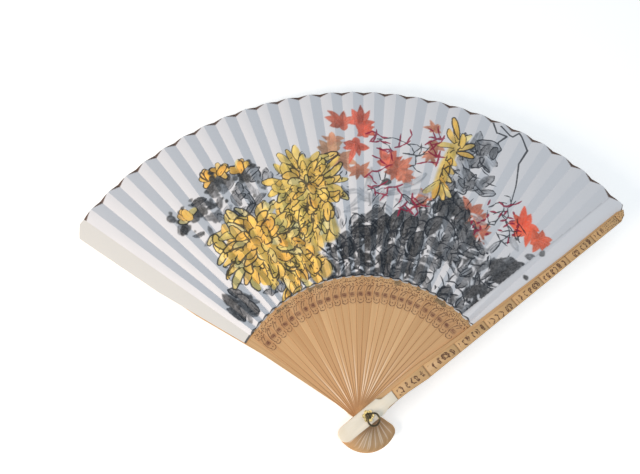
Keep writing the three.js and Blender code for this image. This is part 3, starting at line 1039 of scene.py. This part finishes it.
    def twigs(self, start, turn, length, layer, forks=2, width=0.4):
        """A crooked twig with side shoots."""
        rng = self.rng
        place = np.asarray(start, float)
        for _ in range(max(2, int(length / 8))):
            hop = rng.uniform(4, 10)
            turn += rng.uniform(-45, 45)
            line = curve(place, turn, hop, rng.uniform(-40, 40), 4)
            self.line(line, (width * 0.8, width * 1.2, width * 0.5), layer)
            if forks and rng.random() < 0.75:
                side = turn + rng.choice((-1, 1)) * rng.uniform(30, 70)
                self.twigs(line[2], side, length * 0.35, layer, forks - 1, width * 0.9)
            place = line[-1]


def paint_leaf(points, leaf):
    """The whole picture: blossoms at the left, maple above and right, and a bank of inked leaves below."""
    art = Painting(points, leaf)
    grey_foliage(art)
    maple_spray(art)
    ink_bank(art)
    blossoms(art)
    plain_end(art)
    return art


def plain_end(art):
    """The paper's last strip, along the front guard, is bare but for two stray blots. It is a little paler
    than the rest of the paper and has a line of painted shade at its fold.
    """
    turn = -stick_turn(FRONT)
    beside = art.points @ np.array((math.cos(turn), -math.sin(turn)))
    bare = beside > -BARE_STRIP
    # Painted shade: the paper darkens in a narrow line along the fold at the strip's inner side.
    painted_fold_shade = np.exp(-((beside[bare] + BARE_STRIP) ** 2))
    art.wash[bare] = np.array(art.leaf.paper) * (1.02 - 0.12 * painted_fold_shade[:, None])
    art.ink[bare] = NO_LINE
    art.twig[bare] = NO_LINE
    art.blot(at(51.6, 193), 2.4, 0.42)
    art.blot(at(52.8, 166), 1.9, 0.28)


def grey_foliage(art):
    """Loose grey leaves round the buds and below the blossoms."""
    art.spray(20, (-44, -33), (196, 220), (60, 250), (6, 12), (1.7, 3.2), (0.22, 0.5), 0.1)
    art.spray(12, (-42, -37), (176, 204), (20, 250), (6, 11), (1.6, 2.8), (0.35, 0.6), 0.3)
    art.spray(16, (-32, -20), (198, 222), (-60, 80), (9, 15), (2.6, 4.2), (0.42, 0.66), 0.8)
    art.spray(14, (-37, -24), (183, 202), (-80, 80), (8, 13), (2.2, 3.8), (0.42, 0.66), 0.8)
    art.spray(11, (-50, -42), (120, 139), (-90, 10), (9, 16), (2.4, 4.2), (0.16, 0.4), 0.4)
    art.spray(9, (-50, -43), (108, 124), (-90, 10), (6, 12), (1.2, 2.6), (0.25, 0.5), 0.3)
    art.spray(14, (-40, -14), (107, 122), (-70, 70), (8, 13), (2.0, 3.2), (0.45, 0.66), 0.6, 0.7)
    for _ in range(34):
        spot = at(art.rng.uniform(-44, -20), art.rng.uniform(190, 226))
        art.blot(spot, art.rng.uniform(0.7, 1.7), art.rng.uniform(0.2, 0.5))


def maple_spray(art):
    """Maple leaves and their twigs, along the top and at the right."""
    leaf = art.leaf
    vermilion, russet = np.array(leaf.vermilion), np.array(leaf.russet)
    for degrees, reach, turn, size, warm in (
        (-4.6, 219, -40, 15, 1.1),
        (-2.8, 210, 150, 14, 0.95),
        (-4.0, 228, 20, 10, 0.9),
        (-1.4, 244, -25, 15, 0.25),
        (2.2, 245, 10, 14, 0.05),
        (3.0, 237, 75, 12, 0.0),
        (1.2, 223, 190, 15, 0.05),
        (1.8, 199, 150, 12, 0.7),
        (9.2, 206, 10, 15, 0.15),
        (10.6, 199, 120, 12, 0.45),
        (13.0, 197, 100, 11, 0.55),
        (12.0, 205, 60, 10, 0.5),
        (17.8, 247, -30, 9, 0.75),
        (18.6, 232, 200, 11, 0.8),
        (18.0, 222, 160, 9, 0.7),
        (19.2, 184, 190, 10, 0.6),
        (18.0, 176, 170, 9, 0.5),
        (32.4, 183, -60, 15, 0.5),
        (34.6, 177, 20, 12, 0.45),
        (36.2, 170, 150, 12, 0.4),
    ):
        colour = vermilion + (russet - vermilion) * warm
        art.maple(at(degrees, reach), size, turn, colour, art.rng.integers(5, 8))
    art.maple(at(44.2, 198), 15, 5, np.array((0.93, 0.37, 0.26)))
    art.maple(at(46.0, 198), 13, 205, np.array((0.92, 0.38, 0.26)), 5)
    art.maple(at(49.0, 197), 15, 120, np.array((0.90, 0.42, 0.30)))

    for degrees, reach, turn, length in (
        (3.5, 234, 110, 24), (4.5, 226, 80, 30), (6, 220, 120, 22), (5, 212, 150, 20), (10, 222, 100, 20),
        (17, 238, 110, 20), (16.5, 230, 80, 22), (17.5, 224, 100, 18), (20, 244, 200, 18), (20, 228, 215, 20),
        (13, 188, 250, 16), (16, 182, 210, 22), (15, 174, 240, 18), (18.5, 172, 240, 20), (3.2, 192, 60, 18),
        (4, 184, 140, 16), (36.5, 205, 170, 14),
    ):
        art.twigs(at(degrees, reach), turn, length, "twig", forks=1, width=0.8)
    for _ in range(24):
        start = at(art.rng.uniform(33, 45), art.rng.uniform(164, 208))
        line = curve(start, art.rng.uniform(20, 110), art.rng.uniform(2.5, 6), art.rng.uniform(-50, 50), 4)
        art.line(line, (0.5, 1.0, 0.4), "twig")
    for degrees, reach, turn, length in (
        (6, 229, 80, 46), (12, 218, 100, 30), (14, 206, 60, 30), (39.5, 214, 200, 40), (42, 200, 215, 30),
        (38.5, 200, 225, 24), (4, 180, 60, 30), (40, 180, 130, 20), (35, 196, 100, 18),
    ):
        art.twigs(at(degrees, reach), turn, length, "ink", forks=1, width=0.55)
    branches = (
        ((28.0, 274), (29.4, 264), (31.4, 266), (30.4, 256), (31.5, 250)),
        ((29.6, 272), (32.4, 268), (33.1, 274), (36.0, 263), (35.9, 247), (37.6, 227), (39.0, 208)),
    )
    for bends in branches:
        art.line([at(*bend) for bend in bends], (0.8, 0.65, 0.9, 0.6, 0.5))


BANK_TOP = (
    (-11, 126), (-7, 136), (-3, 150), (3, 156), (9, 162), (15, 168), (19, 176), (23, 190),
    (28, 196), (31, 184), (36, 168), (41, 162), (46, 160), (50, 168), (52, 150), (53.2, 112),
)


def bank_top(degrees):
    return np.interp(degrees, [d for d, _ in BANK_TOP], [r for _, r in BANK_TOP])


def ink_bank(art):
    """The bank of leaves along the ribs, dark and close together below, lighter and looser at its top."""
    rng = art.rng
    for degrees, reach, turn, length, bend in (
        (-2, 164, 62, 44, -60), (2, 172, 100, 40, 45), (-3, 178, 70, 26, 70), (10, 184, 95, 34, -50),
        (6, 168, 40, 30, 60), (14, 180, 70, 28, 60), (12, 174, 130, 22, 50),
    ):
        mark = art.stroke(curve(at(degrees, reach), turn, length, bend), (1.0, 2.6, 2.2, 3.0, 1.2))
        art.fill(mark, (0.66, 0.67, 0.69), 0.8, 1.2, 0.08, 0.3, 0.2)
    art.spray(34, (-6, 46), (150, 182), (-60, 80), (8, 15), (1.4, 3.4), (0.5, 0.68), 0.4, 0.7)
    for degrees, reach, turn, size in (
        (27.2, 248, 60, 19), (29.2, 246, 130, 19), (26.4, 233, 20, 19), (28.6, 230, 70, 16),
        (30.4, 236, 150, 14), (25.8, 219, 170, 18), (28.6, 214, 10, 18), (32.0, 217, 60, 14),
        (30.6, 206, 160, 16), (27.0, 205, 0, 16),
        (24.4, 208, 30, 15), (33.4, 206, 100, 12), (24.5, 196, 20, 15),
    ):
        width = size * rng.uniform(0.24, 0.34)
        art.leaf_shape(at(degrees, reach), turn, size, width, rng.uniform(0.4, 0.66))
    art.spray(14, (24.5, 31.5), (198, 250), (-60, 80), (8, 14), (1.5, 3.4), (0.4, 0.66), 0.9)
    for _ in range(16):
        start = at(rng.uniform(24, 32), rng.uniform(200, 252))
        line = curve(start, rng.uniform(90, 230), 9, rng.uniform(-90, 90))
        art.line(line, (0.3, 0.7, 0.2))
    for _ in range(190):
        degrees = rng.uniform(-11, 53)
        top = bank_top(degrees)
        reach = rng.uniform(107, top - 4)
        loose = np.clip((degrees - 26) / 22, 0, 1)
        grey = np.clip(rng.normal(0.30 + 0.08 * loose, 0.10), 0.13, 0.6)
        turn = degrees + rng.choice((0, 180)) + rng.normal(0, 40)
        width = rng.uniform(2.4, 5.2) * (1 - 0.3 * loose)
        length = rng.uniform(9, 19)
        drawn = rng.random() < 0.5
        art.leaf_shape(at(degrees, reach), turn, length, width, grey, drawn, rng.uniform(0.6, 0.95))
    art.spray(12, (27, 37), (128, 172), (-60, 80), (12, 18), (3.0, 4.6), (0.34, 0.52), 0.9)
    for _ in range(130):
        degrees = rng.uniform(-11, 53)
        reach = rng.uniform(107, bank_top(degrees) + 4)
        line = curve(at(degrees, reach), rng.uniform(0, 360), rng.uniform(3, 9), rng.uniform(-60, 60), 5)
        mark = art.stroke(line, (0.3, rng.uniform(0.6, 1.5), 0.3))
        art.fill(mark, np.array(art.leaf.paper), 0.9, 0.8)
        art.cover_lines(mark, 0.0)
    for degrees, reach, turn, size, grey in (
        (28.4, 187, 20, 21, 0.24), (27.0, 178, 160, 17, 0.27), (31.0, 176, 60, 16, 0.3),
        (17.0, 152, 20, 20, 0.2), (20.0, 140, 10, 20, 0.22), (3.0, 140, 100, 18, 0.2),
        (9.0, 148, 60, 18, 0.22), (13.0, 156, 30, 17, 0.2),
        (24.0, 160, 40, 18, 0.25), (-2.0, 130, 20, 15, 0.25),
    ):
        art.leaf_shape(at(degrees, reach), turn, size, size * 0.3, grey, True, 0.93)
    for _ in range(210):
        degrees = rng.uniform(-11, 53)
        reach = rng.uniform(107, bank_top(degrees) + 2)
        turn = degrees + rng.normal(0, 50)
        line = curve(at(degrees, reach), turn, rng.uniform(4, 13), rng.uniform(-90, 90), 5)
        art.line(line, (0.2, rng.uniform(0.35, 1.0), 0.2))
    for degrees, reach, turn, size, grey in (
        (47.6, 162, 60, 17, 0.3), (48.8, 157, 100, 15, 0.24), (47.0, 157, 20, 14, 0.36),
        (49.4, 162, 40, 12, 0.42), (46.6, 154, 20, 15, 0.27), (49.8, 166, 80, 14, 0.28),
        (49.4, 151, 90, 13, 0.24),
        (50.6, 181, 110, 8, 0.4), (52.0, 152, 60, 7, 0.34), (45.0, 126, 60, 13, 0.28),
        (47.8, 131, 130, 12, 0.26),
    ):
        art.leaf_shape(at(degrees, reach), turn, size, size * 0.36, grey, False, 0.93)
    art.blot(at(8.0, 187), 3.4, 0.24)


def blossoms(art):
    """Two large blossoms with petals between and below them, four buds, and a blossom seen from the side."""
    rng = art.rng
    first, second = at(-29.5, 156), at(-11.8, 189)
    for ends, width, warm in (
        (((-14, 184), (-11, 164), (-9, 146)), 13, 0.15),
        (((-18, 172), (-17, 154), (-14, 138)), 10, 0.3),
        (((-24, 150), (-20, 132), (-14, 116)), 11, 0.5),
        (((-30, 134), (-26, 118)), 9, 0.5),
    ):
        art.ground([at(*end) for end in ends], width, warm)
    low = [at(rng.uniform(-31, -13), rng.uniform(108, 138)) for _ in range(30)]
    art.petals(low, (110, 240), 13, 2.8, 0.5)
    hanging = [at(rng.uniform(-21, -6), rng.uniform(146, 184)) for _ in range(40)]
    art.petals(sorted(hanging, key=lambda place: place[1]), (150, 225), 15, 2.7, 0.25)
    rings = (
        (39, 21, 17, 3.1, 0.1), (33, 22, 14, 3.2, 0.25), (27, 20, 13, 3.2, 0.4), (21, 16, 11, 3.0, 0.5),
        (14, 12, 9, 2.8, 0.65), (8, 8, 7, 2.4, 0.75),
    )
    art.bloom(first, rings, -100, 0.18)
    rings = (
        (35, 20, 17, 3.0, 0.0), (28, 20, 14, 3.2, 0.1), (22, 16, 12, 3.1, 0.25), (15, 12, 10, 2.9, 0.35),
        (8, 8, 8, 2.5, 0.5),
    )
    art.bloom(second, rings, 20, 0.12)
    spots = ((first, 40, 90), (second, 34, 70), (at(-15, 158), 18, 40), (at(-22, 124), 16, 30))
    for middle, reach, count in spots:
        for _ in range(count):
            spot = middle + heading(rng.uniform(0, 360)) * reach * math.sqrt(rng.random())
            line = curve(spot, rng.uniform(0, 360), rng.uniform(2.5, 7), rng.uniform(-120, 120), 5)
            art.line(line, (0.15, rng.uniform(0.3, 0.85), 0.15))

    art.bud(at(-40.8, 213), 9.5, -60, 4)
    art.bud(at(-31.9, 231), 9.5, -50)
    art.bud(at(-29.0, 231), 8.5, 30)
    art.bud(at(-25.2, 226), 9.0, -20)

    for degrees, reach, turn in (
        (21.8, 236, 5), (22.6, 234, 45), (21.4, 234, -30), (22.9, 229, 75), (21.4, 229, -60), (23.2, 232, 20),
        (22.8, 226, 120), (22.0, 240, -10),
    ):
        long = 19 if abs(turn) < 12 else 13
        line = curve(at(degrees + 0.9, reach + 6), turn, long, rng.uniform(-35, 35))
        art.petal(line, 2.7, art.blossom_tint(0.35))
    art.ground([at(22.9, 242), at(22.0, 215), at(21.6, 196)], 5.0, 0.3)
    for k in range(9):
        side = (-1) ** k
        start = at(22.3 + 0.5 * side, 232 - 4.2 * k)
        art.petal(curve(start, 187 + 18 * side, 12, 26 * side), 2.7, art.blossom_tint(0.5))
    for turn in (150, 170, 190, 208, 228):
        art.petal(curve(at(21.6, 199), turn, 16, rng.uniform(-25, 25)), 2.8, art.blossom_tint(0.25))


# The leaf's pleats


class LeafPanel:
    """One flat panel of the leaf, a grid of rows outward by columns from left to right."""

    def __init__(self, name, left, right, heights, bodies, node, trim=None):
        self.name = name
        self.trim = trim
        self.left = left
        self.right = right
        self.heights = heights
        self.bodies = bodies
        self.node = node

    def grid(self, leaf, lift):
        """The panel's points, as rows by columns by x, y and z."""
        reach = np.linspace(LEAF_INNER, LEAF_OUTER, leaf.rows)[:, None]
        share = np.linspace(0, 1, leaf.columns)[None, :]
        left, right = (edge(reach) if callable(edge) else edge for edge in (self.left, self.right))
        turn = left + (right - left) * share
        out = self.trim(reach, share) if self.trim else reach + 0 * turn
        height = self.heights[0] + (self.heights[1] - self.heights[0]) * share + lift(reach, share)
        return np.stack([out * np.cos(turn), out * np.sin(turn), height + 0 * out], axis=-1)


def cut_corner(depth, corner):
    """Shortens a panel towards one side, 0 its left and 1 its right, at its outer end."""

    def trim(reach, share):
        away = np.abs(share - corner)
        outer = LEAF_OUTER - depth * np.clip(1 - away * 1.5, 0, 1)
        return LEAF_INNER + (reach - LEAF_INNER) * (outer - LEAF_INNER) / (LEAF_OUTER - LEAF_INNER)

    return trim


def direction(i):
    return math.pi / 2 + stick_turn(i)


def panels():
    """Every panel of the leaf from left to right."""

    def left_edge(reach):
        width = np.clip(5.2 + 10.0 * (reach - LEAF_INNER) / (LEAF_OUTER - LEAF_INNER), 0, 10.2) * MM
        return direction(0) + np.arcsin(width / reach)

    def right_edge(reach):
        return direction(FRONT) - FLAP / reach

    low, top = valley_height(0), crest_height(FRONT)
    right = direction(0) - HALF_PANEL
    trim = cut_corner(CORNER, 0)
    made = [LeafPanel("leaf_guard_strip", left_edge, right, (low, low), STICKS[:1], pleat_node(0), trim)]
    for i in range(FRONT):
        left, right = direction(i) + HALF_PANEL, direction(i) - HALF_PANEL
        if i:
            heights = (crest_height(i), valley_height(i))
            made.append(LeafPanel(f"leaf_fixed_{i:02d}", left, right, heights, [STICKS[i]], pleat_node(i)))
        heights = (valley_height(i), crest_height(i + 1))
        end = direction(i + 1) + HALF_PANEL
        made.append(LeafPanel(f"leaf_free_{i:02d}", right, end, heights, STICKS[i : i + 2], pleat_node(i)))
    left = direction(FRONT) + HALF_PANEL
    trim = cut_corner(CORNER, 1)
    last = pleat_node(FRONT - 1)
    made.append(LeafPanel("leaf_end_flap", left, right_edge, (top, top), STICKS[FRONT:], last, trim))
    return made


class FAN_OT_leaf(Operator):
    """Makes the pleated leaf, panel by panel, and paints it"""

    bl_idname = "fan.leaf"
    bl_label = "Painted Leaf"

    def execute(self, context):
        leaf = context.scene.fan_leaf
        materials = [leaf_material(leaf), leaf_back_material(leaf)]
        rng = np.random.default_rng(COCKLE_SEED)
        made = panels()
        grids = [panel.grid(leaf, self.cockles(leaf, panel, rng)) for panel in made]
        points = np.concatenate([g.reshape(-1, 3) for g in grids])
        art = paint_leaf(points[:, :2] / MM, leaf)
        self.colour_edges(art, made, leaf)
        size = leaf.rows * leaf.columns
        for k, (panel, grid) in enumerate(zip(made, grids)):
            own = slice(k * size, (k + 1) * size)
            self.add_panel(panel, grid, leaf, materials, art, own)
        return {"FINISHED"}

    def cockles(self, leaf, panel, rng):
        """How the paper stands off its flat panel: not at the creases, and less on a panel glued to a rib."""
        amount = leaf.cockle * (1.0 if len(panel.bodies) == 2 else 0.25)
        waves = [(rng.uniform(0.3, 1.0), rng.uniform(14, 34), rng.uniform(0, 6.3)) for _ in range(3)]

        def lift(reach, share):
            ripple = sum(size * np.sin(count * reach / 0.17 + phase) for size, count, phase in waves)
            return amount * np.sin(math.pi * share) * (0.7 + 0.3 * ripple)

        return lift

    def colour_edges(self, art, made, leaf):
        """Paper tones that follow the pleats: the cream strip, a painted shadow along the outer edge that is
        deepest at each valley, and the inked inner edge.
        """
        reach = np.linspace(LEAF_INNER, LEAF_OUTER, leaf.rows)[:, None] / MM
        share = np.linspace(0, 1, leaf.columns)[None, :]
        cream = np.array(leaf.cream)
        valley_shadow = np.array(leaf.valley_shadow)
        size = leaf.rows * leaf.columns
        for k, panel in enumerate(made):
            own = slice(k * size, (k + 1) * size)
            fixed = len(panel.bodies) == 1
            from_valley = (1 - share if fixed else share) + 0 * reach
            if panel.name == "leaf_guard_strip":
                from_valley = 1.0 + 0 * from_valley
                art.wash[own] += 0.9 * (cream - art.wash[own])
            # Painted shadow: a dark band along the outer edge, widest at each valley crease and gone at the
            # crests. It stands for the shade under the paper between the crests.
            depth = VALLEY_SHADOW_DEPTH * np.clip(1 - from_valley * 1.15, 0, 1)
            valley_shadow_cover = np.clip((reach - (LEAF_OUTER / MM - depth)) / 0.5 + 0.5, 0, 1) * (depth > 0.2)
            valley_shadow_cover = valley_shadow_cover.reshape(-1, 1)
            art.wash[own] += valley_shadow_cover * (valley_shadow - art.wash[own])
            art.ink[own] = np.where(valley_shadow_cover[:, 0] > 0.2, NO_LINE, art.ink[own])
            line = (reach - LEAF_INNER / MM - 0.5 - 0.9 * np.sin(math.pi * from_valley / 2)).reshape(-1)
            art.ink[own] = np.minimum(art.ink[own], line)

    def add_panel(self, panel, grid, leaf, materials, art, own):
        bm = bmesh.new()
        bmesh.ops.create_grid(bm, x_segments=leaf.columns - 1, y_segments=leaf.rows - 1, size=0.5)
        flat = np.array([v.co for v in bm.verts])
        column = np.rint((flat[:, 0] + 0.5) * (leaf.columns - 1)).astype(int)
        row = np.rint((flat[:, 1] + 0.5) * (leaf.rows - 1)).astype(int)
        for vert, r, c in zip(bm.verts, row, column):
            vert.co = grid[r, c]
        bm.normal_update()
        if sum(face.normal.z for face in bm.faces) < 0:
            bmesh.ops.reverse_faces(bm, faces=bm.faces)
        for edge in bm.edges:
            edge.smooth = not edge.is_boundary
        fixed = len(panel.bodies) == 1
        body = panel.bodies[0] if fixed else None
        piece = add_piece(panel.name, bm, materials, body, "leaf_paper", panel.node)
        mesh = piece.data
        index = row * leaf.columns + column
        wash = np.ones((len(index), 4), np.float32)
        wash[:, :3] = from_screen(np.clip(art.wash[own][index], 0, 1))
        layer = mesh.attributes.new("wash", "FLOAT_COLOR", "POINT")
        layer.data.foreach_set("color", wash.ravel())
        for name in ("ink", "twig"):
            layer = mesh.attributes.new(name, "FLOAT", "POINT")
            layer.data.foreach_set("value", getattr(art, name)[own][index].astype(np.float32))
        mesh.shade_smooth()
        if not fixed:
            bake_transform(piece)
        solid = piece.modifiers.new("thickness", "SOLIDIFY")
        solid.thickness = PAPER_THICKNESS
        solid.offset = -1
        solid.material_offset = 1
        solid.material_offset_rim = 1


class FAN_OT_stage(Operator):
    """Makes the plain floor, the light and the camera"""

    bl_idname = "fan.stage"
    bl_label = "Stage"

    def execute(self, context):
        stage = context.scene.fan_stage
        self.floor(stage)
        self.light(stage)
        self.camera(stage)
        context.scene.view_settings.view_transform = "Standard"
        return {"FINISHED"}

    def floor(self, stage):
        settings = {"Roughness": 0.9, "Specular IOR Level": 0.1, "Emission Color": (1, 0.93, 0.86, 1)}
        surface = Surface("floor", settings)
        surface.shader.inputs["Base Color"].default_value = surface.plain(stage.floor)
        seen = surface.node("ShaderNodeLightPath", {}, {}, "Is Camera Ray")
        surface.links.new((seen * BACKGROUND_GLOW).socket, surface.shader.inputs["Emission Strength"])
        bm = bmesh.new()
        bmesh.ops.create_grid(bm, x_segments=1, y_segments=1, size=FLOOR_SIZE)
        bmesh.ops.translate(bm, verts=bm.verts, vec=(0, 0, CAD_BOX[0].z - 0.05 * MM))
        mesh = bpy.data.meshes.new("floor")
        bm.to_mesh(mesh)
        bm.free()
        mesh.materials.append(surface.material)
        floor = bpy.data.objects.new("floor", mesh)
        bpy.context.scene.collection.objects.link(floor)

    def light(self, stage):
        self.lamp("key", stage.key, (1.0, 0.83, 0.68), 0.45, (-0.76, -0.31, 0.36), (0, 0.12, 0))
        gleam = self.lamp("gleam", stage.gleam, (1.0, 0.95, 0.9), 0.12, (0.11, -0.01, 0.7), (0.01, 0.0, 0))
        gleam.diffuse_factor = 0
        world = bpy.data.worlds.new("soft_room")
        world.use_nodes = True
        sky = world.node_tree.nodes["Background"]
        sky.inputs["Color"].default_value = (0.74, 0.88, 1.0, 1.0)
        sky.inputs["Strength"].default_value = stage.fill
        bpy.context.scene.world = world

    def lamp(self, name, power, colour, size, place, target):
        lamp = bpy.data.lights.new(name, "AREA")
        lamp.energy = power
        lamp.color = colour
        lamp.shape = "DISK"
        lamp.size = size
        holder = bpy.data.objects.new(name, lamp)
        holder.location = place
        holder.rotation_euler = (Vector(place) - Vector(target)).to_track_quat("Z", "Y").to_euler()
        bpy.context.scene.collection.objects.link(holder)
        return lamp

    def camera(self, stage):
        lens = bpy.data.cameras.new("camera")
        lens.lens = stage.focal
        lens.sensor_width = 36
        lens.clip_start = 0.01
        camera = bpy.data.objects.new("camera", lens)
        azimuth, elevation, roll = (math.radians(turn) for turn in CAMERA_TURNS)
        low = math.cos(elevation)
        back = Vector((math.sin(azimuth) * low, -math.cos(azimuth) * low, math.sin(elevation)))
        right = Vector((0, 0, 1)).cross(back).normalized()
        up = back.cross(right)
        level = right * math.cos(roll) + up * math.sin(roll)
        rise = up * math.cos(roll) - right * math.sin(roll)
        turn = Matrix((level, rise, back)).transposed().to_4x4()
        camera.matrix_world = Matrix.Translation(CAMERA_AIM + back * CAMERA_DISTANCE) @ turn
        bpy.context.scene.collection.objects.link(camera)
        bpy.context.scene.camera = camera


class FAN_PT_build(Panel):
    bl_label = "Folding Fan"
    bl_idname = "FAN_PT_build"
    bl_space_type = "VIEW_3D"
    bl_region_type = "UI"
    bl_category = "Fan"

    def draw(self, context):
        for settings in ("fan_leaf", "fan_wood", "fan_fittings", "fan_stage"):
            group = getattr(context.scene, settings)
            box = self.layout.box()
            for prop in group.bl_rna.properties:
                if not prop.is_readonly and prop.identifier != "name":
                    box.prop(group, prop.identifier)
        for operator in OPERATORS:
            self.layout.operator(operator.bl_idname)


SETTINGS = {
    "fan_leaf": FanLeafSettings,
    "fan_wood": FanWoodSettings,
    "fan_fittings": FanFittingSettings,
    "fan_stage": FanStageSettings,
}
OPERATORS = (FAN_OT_stage, FAN_OT_ribs, FAN_OT_guards, FAN_OT_bolsters, FAN_OT_fittings, FAN_OT_leaf)


def register():
    for cls in (*SETTINGS.values(), *OPERATORS, FAN_PT_build):
        bpy.utils.register_class(cls)
    for name, group in SETTINGS.items():
        setattr(bpy.types.Scene, name, PointerProperty(type=group))


def unregister():
    for name in SETTINGS:
        delattr(bpy.types.Scene, name)
    for cls in reversed((*SETTINGS.values(), *OPERATORS, FAN_PT_build)):
        bpy.utils.unregister_class(cls)


def main():
    register()
    for make in (
        bpy.ops.fan.stage,
        bpy.ops.fan.ribs,
        bpy.ops.fan.guards,
        bpy.ops.fan.bolsters,
        bpy.ops.fan.fittings,
        bpy.ops.fan.leaf,
    ):
        make()


if __name__ == "__main__":
    main()
